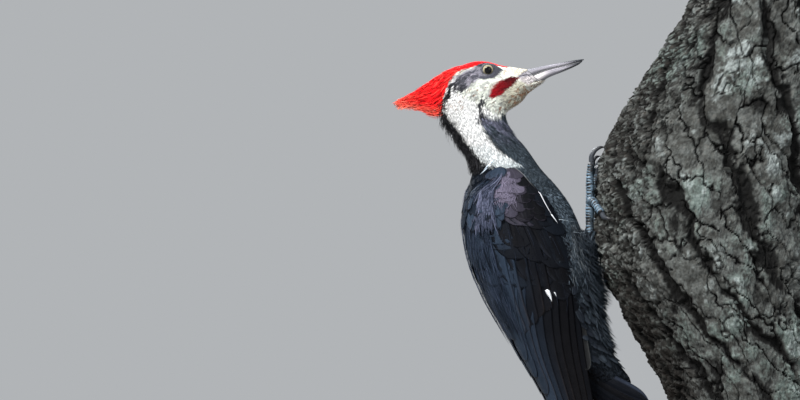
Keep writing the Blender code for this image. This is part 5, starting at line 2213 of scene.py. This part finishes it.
# ------------------------------------------------------------------ the log and its stand
def cells(p: Array, q: Array, wrap: int, seed: int) -> tuple[Array, Array]:
    """Cells round scattered centres: one jittered centre in each square of a lattice.

    Args:
        p, q: places in units of the lattice; p closes on itself after wrap squares.
        wrap: squares round the log.
        seed: seed of the centres.

    Returns:
        How much further the second nearest centre lies than the nearest, and a value from 0
        to 1 for each cell.
    """
    rng = np.random.default_rng(seed)
    rows = int(q.max() - q.min()) + 4
    jitter = rng.uniform(0.1, 0.9, (wrap, rows, 2))
    value = rng.uniform(0, 1, (wrap, rows))
    low_p, low_q = np.floor(p).astype(int), np.floor(q).astype(int)
    base = int(np.floor(q.min())) - 1
    first = np.full(p.shape, 9.0)
    second, mark = first.copy(), 0 * first
    for dp, dq in np.ndindex(3, 3):
        i, j = low_p + dp - 1, low_q + dq - 1
        at = (i % wrap, np.clip(j - base, 0, rows - 1))
        far = np.hypot(i + jitter[at][..., 0] - p, j + jitter[at][..., 1] - q)
        closer = far < first
        second = np.where(closer, first, np.minimum(second, far))
        mark = np.where(closer, value[at], mark)
        first = np.where(closer, far, first)
    return second - first, mark


@dataclass(frozen=True)
class Log:
    """The cut trunk: bark in slanting plates between furrows painted black as shade, and two sawn
    ends.

    Attributes:
        low, high: heights of its ends.
        rows, sides: points along each part of the bark, and round it.
        furrows: furrows round the log.
        twist: how far they lean, in radians for each millimetre of height.
        plates, plate_length: plates round the log, and the length of each.
        ring_pitch: distance between growth rings.
    """

    low: float = 55.0
    high: float = 492.0
    rows: int = 360
    sides: int = 262
    furrows: int = 11
    twist: float = 0.0060
    plates: int = 26
    plate_length: float = 44.0
    ring_pitch: float = 2.6

    def relief(self, z: Array, b: Array) -> tuple[Array, Array]:
        """How deep the bark lies under its outline.

        Slanting furrows are a high power of a wave of the angle and the height, pushed about
        and broken off by noise. Plates are cells drawn out along the furrows with cracks
        between them; each has flat terraces with sharp steps, and ridged grit lies over all.
        The face by the bird is crumbled.

        Args:
            z, b: heights and angles.

        Returns:
            The depth in millimetres, and each plate's own value.
        """
        points, lean = TRUNK.surface(z, b), b + self.twist * z
        wobble = 0.9 * np.sin(2 * b + z / 61) + 0.6 * np.sin(3 * b - z / 37)
        phase = self.furrows * lean + wobble + 0.8 * GRAIN.layers(points, 19.0, 4, 0.62)
        open_way = 0.35 + 0.65 * rise(GRAIN.layers(points + 80, 48.0, 2), -0.45, 0.5)
        furrow = (0.5 + 0.5 * np.cos(phase)) ** 12 * open_way
        p = self.plates * lean / TURN + 0.40 * GRAIN.layers(points, 27.0, 4, 0.6)
        q = z / self.plate_length + 0.34 * GRAIN.layers(points + 50, 22.0, 4, 0.6)
        gap, mark = cells(p, q, self.plates, 91)
        crack = 1 - rise(gap, 0, 0.13)
        flake_gap, flake = cells(p * 3 + 0.5 * GRAIN.at(points, 6.0),
                                 q * 5 + 0.4 * GRAIN.at(points + 9, 6.0), self.plates * 3, 92)
        chip = 1 - rise(flake_gap, 0, 0.22)
        sheet = 3.2 * GRAIN.layers(points * (1, 1, 0.7) + 30, 17.0, 4, 0.55) + 2 * mark
        step = np.floor(sheet)
        crumble = rise(-np.cos(b), 0.30, 0.6)
        ridges = 1 - 2 * np.abs(GRAIN.layers(points + 11, 7.0, 3, 0.6))
        grit = 1 - 2 * np.abs(GRAIN.layers(points + 17, 3.4, 2, 0.6))
        depth = 6.4 * furrow + 4.2 * crack * (0.25 + 0.75 * mark) + (0.4 + 1.4 * crumble) * chip
        depth = depth + 0.8 * (step + rise(sheet, step, 0.18)) + 0.4 * flake
        depth = depth - (0.25 + 1.5 * crumble) * ridges - (0.2 + 0.6 * crumble) * grit
        depth = depth - 1.3 * crumble * GRAIN.layers(points + 90, 11.0, 3)
        return np.clip(depth, -2.6, 9.5), (mark + flake) * 0.35 + 0.3 * np.sin(3 * step) ** 2

    def sector(self, name: str, start: float, width: float) -> bpy.types.Object:
        """Build part of the bark, closed by a wall inside the log.

        Its colours run from lichen and a painted highlight on the raised plates to black in the
        furrows, which is painted shade;
        the crumbled face is painted darker low down, as painted shadow.

        Args:
            name: the piece's name.
            start, width: the angle where it starts, and how far round it goes.

        Returns:
            The piece.
        """
        z, b = grid(np.linspace(self.low, self.high, self.rows),
                    start + np.linspace(0, width, self.sides))
        depth, mark = self.relief(z, b)
        outer, flat = TRUNK.surface(z, b, depth), TRUNK.surface(z, b)
        across = np.linspace(0, 1, 6)[1:-1, None]
        wall = outer[:, -1:] + (outer[:, :1] - outer[:, -1:]) * across
        patch = GRAIN.layers(flat + 20, 55.0, 4, 0.6)
        speck = GRAIN.layers(flat + 40, 4.0, 3, 0.8)
        fine = GRAIN.layers(flat + 60, 2.4, 2, 0.8)
        broad = GRAIN.layers(flat + 70, 15.0, 3, 0.6)
        crumble = rise(-np.cos(b), 0.40, 0.5)
        lichen = rise(patch + 0.5 * speck + 0.2 * np.cos(b), 0.1, 0.8)
        # Painted highlight: paler where the bark stands highest, less on the crumbled face.
        plate_highlight = fall(depth, 0.8, 1.5) * rise(0.45 * speck + broad, -0.15, 0.7)
        colour = layered(
            rgb(52, 53, 51),
            (rgb(94, 98, 97), np.clip(mark + 0.4 * speck, 0, 1)),
            (rgb(96, 110, 106), lichen * fall(depth, 3.0, 2.5) * 0.6),
            (rgb(136, 144, 144), plate_highlight * (0.75 - 0.45 * crumble)),
            (rgb(20, 18, 17), (0.15 + 0.75 * crumble) * fall(fine + 0.3 * speck, 0.25, 0.3)),
            (rgb(60, 50, 42), 0.3 * rise(speck, 0.6, 0.3)),
            # Painted shadow: the crumbled face under the bird is darker low down.
            (rgb(22, 19, 17), crumble * fall(z, 272, 40) * 0.75),
            # Painted shade: black in the furrows and cracks, by their depth.
            (rgb(4, 4, 4), rise(depth, 1.9, 2.2) * 0.97))
        colour = np.concatenate([colour, np.repeat(colour[:, :1], len(across), 1)], 1)
        colours = np.vstack([colour.reshape(-1, 3), np.tile(rgb(60, 48, 36), (2, 1))])
        surface = shell(np.concatenate([outer, wall], 1))
        return write_mesh(name, surface, Coat.BARK, colours, sharp=60)

    def end(self, name: str, height: float, up: float) -> None:
        """A sawn end: growth rings round an off-centre pith, checks and shallow saw marks.

        Args:
            name: the piece's name.
            height: height of the end.
            up: 1 for the upper end and -1 for the lower one.
        """
        share = np.append(0.999, np.linspace(0.985, 0.02, 90))
        share, b = grid(share, turns(180))
        rim = TRUNK.surface(np.full(b.shape, height), b, 6.0)
        middle = rim[0].mean(0)
        flat = middle + (rim - middle) * share[..., None]
        radius = np.linalg.norm(flat - middle - np.array([6.0, 3.0, 0]), axis=-1)
        ring = radius + 1.6 * GRAIN.at(flat, 22.0)
        late = rise(np.sin(ring * TURN / self.ring_pitch), 0.1, 0.8)
        split = np.exp(-(np.sin(b * 1.5 + 0.4) / 0.03) ** 2) * rise(share, 0.15, 0.5)
        saw = 0.08 * np.sin(flat[..., 0] * 2.2 + 0.4 * flat[..., 1])
        flat = flat + np.array([0, 0, up]) * (0.6 + saw - 0.5 * split - 0.12 * late)[..., None]
        back = flat[:1] - np.array([0, 0, up * 1.2])
        colour = blend(rgb(206, 176, 132), rgb(160, 118, 78), fall(ring, 38, 14))
        colour = blend(colour, colour * 0.62, late * 0.7)
        colour = blend(colour, rgb(60, 42, 28), np.clip(split, 0, 1))
        colour = np.concatenate([colour[:1], colour]).reshape(-1, 3)
        colours = np.vstack([colour, np.tile(rgb(150, 110, 74), (2, 1))])
        write_mesh(name, shell(np.concatenate([back, flat])), Coat.SAWN, colours, sharp=40)

    def build(self) -> None:
        """Build the bark, whose part by the bird stands for the solid, and both ends."""
        piece = self.sector("bark_bird_side", -np.pi, np.pi / 2)
        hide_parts("perch")
        self.sector("bark_front", -np.pi / 2, np.pi / 2)
        self.sector("bark_back", 0.0, np.pi)
        self.end("log_end_top", self.high, 1.0)
        self.end("log_end_foot", self.low, -1.0)


@dataclass(frozen=True)
class DrawnFinish:
    """A finish of fine lines drawn out one way, as oiled wood and brushed steel have.

    Attributes:
        name: the material's name.
        lines: scale of the fine lines along each axis, for each metre.
        dark, pale: colours between the lines and on them.
        rough: roughness of the same.
        strength, depth: of the lines' relief; the depth is in millimetres.
        metallic: 1 for metal.
        bands: scale of broad bands along each axis, for wood only.
    """

    name: str
    lines: tuple
    dark: Array
    pale: Array
    rough: tuple
    strength: float
    depth: float
    metallic: float = 0.0
    bands: tuple | None = None

    def build(self) -> bpy.types.Material:
        """Make the material.

        Returns:
            The material.
        """
        tree = Stuff(self.name)
        tone = fine = tree.group(drawn_lines(), **dict(zip("XYZ", self.lines)))["Line"]
        if self.bands:
            broad = tree.group(drawn_lines(), **dict(zip("XYZ", self.bands)), Detail=4.0,
                               Distortion=0.6)["Line"]
            wave = tree.math("SINE", tree.math("MULTIPLY", broad, 26.0))
            tone = tree.ramp(tree.math("ADD", tree.math("MULTIPLY", wave, 0.12), fine), 0.2, 0.85)
        return tree.finished({
            "Base Color": tree.mix(tone, (*self.dark, 1), (*self.pale, 1)),
            "Roughness": tree.ramp(fine, 0.3, 0.7, *self.rough),
            "Normal": tree.bump(fine, self.strength, self.depth),
            "Metallic": self.metallic})


@dataclass(frozen=True)
class Stand:
    """The plain display stand: an oiled board and two rods of brushed steel."""

    board: DrawnFinish = DrawnFinish(
        "oiled_board", (30.0, 900.0, 900.0), rgb(66, 40, 26), rgb(128, 84, 52), (0.5, 0.34),
        0.4, 0.3, bands=(4.0, 90.0, 90.0))
    rods: DrawnFinish = DrawnFinish(
        "brushed_rod", (40.0, 40.0, 2600.0), rgb(140, 142, 146), rgb(190, 190, 192),
        (0.42, 0.24), 0.3, 0.08, metallic=1.0)

    def build(self) -> None:
        """Give the stand's solids their finishes."""
        wood, steel = self.board.build(), self.rods.build()
        for node, material in (("stand_base", wood), ("stand_rod_inner", steel),
                               ("stand_rod_outer", steel)):
            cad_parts[node].material_slots[0].material = material
            log.info("%s: finished", node)


# ------------------------------------------------------------------ floor, light and camera
@dataclass(frozen=True)
class Studio:
    """A pale round floor, soft lights and a long lens looking along +Y.

    Attributes:
        lens, sensor: focal length and width of the camera's field.
        view_width: width of the view at the bird.
        look_x, look_z: middle of the view.
        floor_radius: the floor's, in metres.
        floor_drop: how far it lies under the stand, in metres.
        aim: where the lights point, in metres.
        lamps: name, place, size, power and tint of a large key from the upper left front, a
            fill, and a cool rim from behind.
    """

    lens: float = 300.0
    sensor: float = 36.0
    view_width: float = 656.0
    look_x: float = -250.1
    look_z: float = 317.4
    floor_radius: float = 4.0
    floor_drop: float = 0.0003
    aim: tuple = (-0.12, 0.0, 0.30)
    lamps: tuple = (
        ("key", (-1.5, -1.9, 2.6), 1.2, 220.0, (1.0, 0.98, 0.95)),
        ("fill", (1.9, -2.6, 1.2), 2.0, 40.0, (0.92, 0.96, 1.0)),
        ("rim", (-1.2, 2.0, 1.8), 1.2, 60.0, (0.88, 0.94, 1.0)))

    def linked(self, name: str, data: bpy.types.ID) -> bpy.types.Object:
        """Put new data into the scene.

        Args:
            name: the object's name.
            data: its mesh, light or camera.

        Returns:
            The object.
        """
        item = bpy.data.objects.new(name, data)
        bpy.context.scene.collection.objects.link(item)
        return item

    def floor(self) -> None:
        """A pale matt disc under the stand."""
        mesh = bpy.data.meshes.new("floor")
        rim = [(self.floor_radius * math.cos(t), self.floor_radius * math.sin(t),
                -self.floor_drop) for t in turns(96)]
        mesh.from_pydata(rim, [], [tuple(range(len(rim)))])
        mesh.materials.append(Stuff("pale_floor").finished(
            {"Base Color": (0.34, 0.34, 0.33, 1), "Roughness": 0.9}))
        self.linked("floor", mesh)

    def lights(self) -> None:
        """The lamps, each turned to the bird, in a pale room."""
        for name, place, size, power, tint in self.lamps:
            light = bpy.data.lights.new(name, "AREA")
            light.size, light.energy, light.color = size, power, tint
            lamp = self.linked(name, light)
            lamp.location = place
            aim = np.subtract(self.aim, place)
            pitch = math.acos(-aim[2] / np.linalg.norm(aim))
            lamp.rotation_euler = (pitch, 0.0, math.atan2(aim[1], aim[0]) - math.pi / 2)
        world = bpy.data.worlds.new("pale_room")
        world.use_nodes = True
        sky = world.node_tree.nodes["Background"].inputs
        sky["Color"].default_value, sky["Strength"].default_value = (0.80, 0.83, 0.86, 1), 0.55
        bpy.context.scene.world = world
        bpy.context.scene.view_settings.view_transform = "Standard"

    def camera(self) -> None:
        """A level camera whose width of view at the bird is the field's."""
        lens = bpy.data.cameras.new("camera")
        lens.lens, lens.sensor_width, lens.clip_end = self.lens, self.sensor, 100.0
        away = self.view_width * MM * self.lens / self.sensor
        item = self.linked("camera", lens)
        item.location = (self.look_x * MM, AXIS_Y * MM - away, self.look_z * MM)
        item.rotation_euler = (math.pi / 2, 0.0, 0.0)
        bpy.context.scene.camera = item

    def build(self) -> None:
        """Set up the studio."""
        self.floor()
        self.lights()
        self.camera()


def main() -> None:
    """Build the studio, the bird, the log and the stand, in that order."""
    logging.basicConfig(level=logging.INFO, format="%(name)s %(message)s")
    Studio().build()
    Skin().build()
    for tract in TRACTS:
        tract.grow()
    HeadTrim().build()
    Mantle().build()
    Bill().build()
    for side in Side:
        Eye(side).build()
        Wing(side).build()
        Foot(side).build()
    Tail().build()
    Log().build()
    Stand().build()


if __name__ == "__main__":
    main()
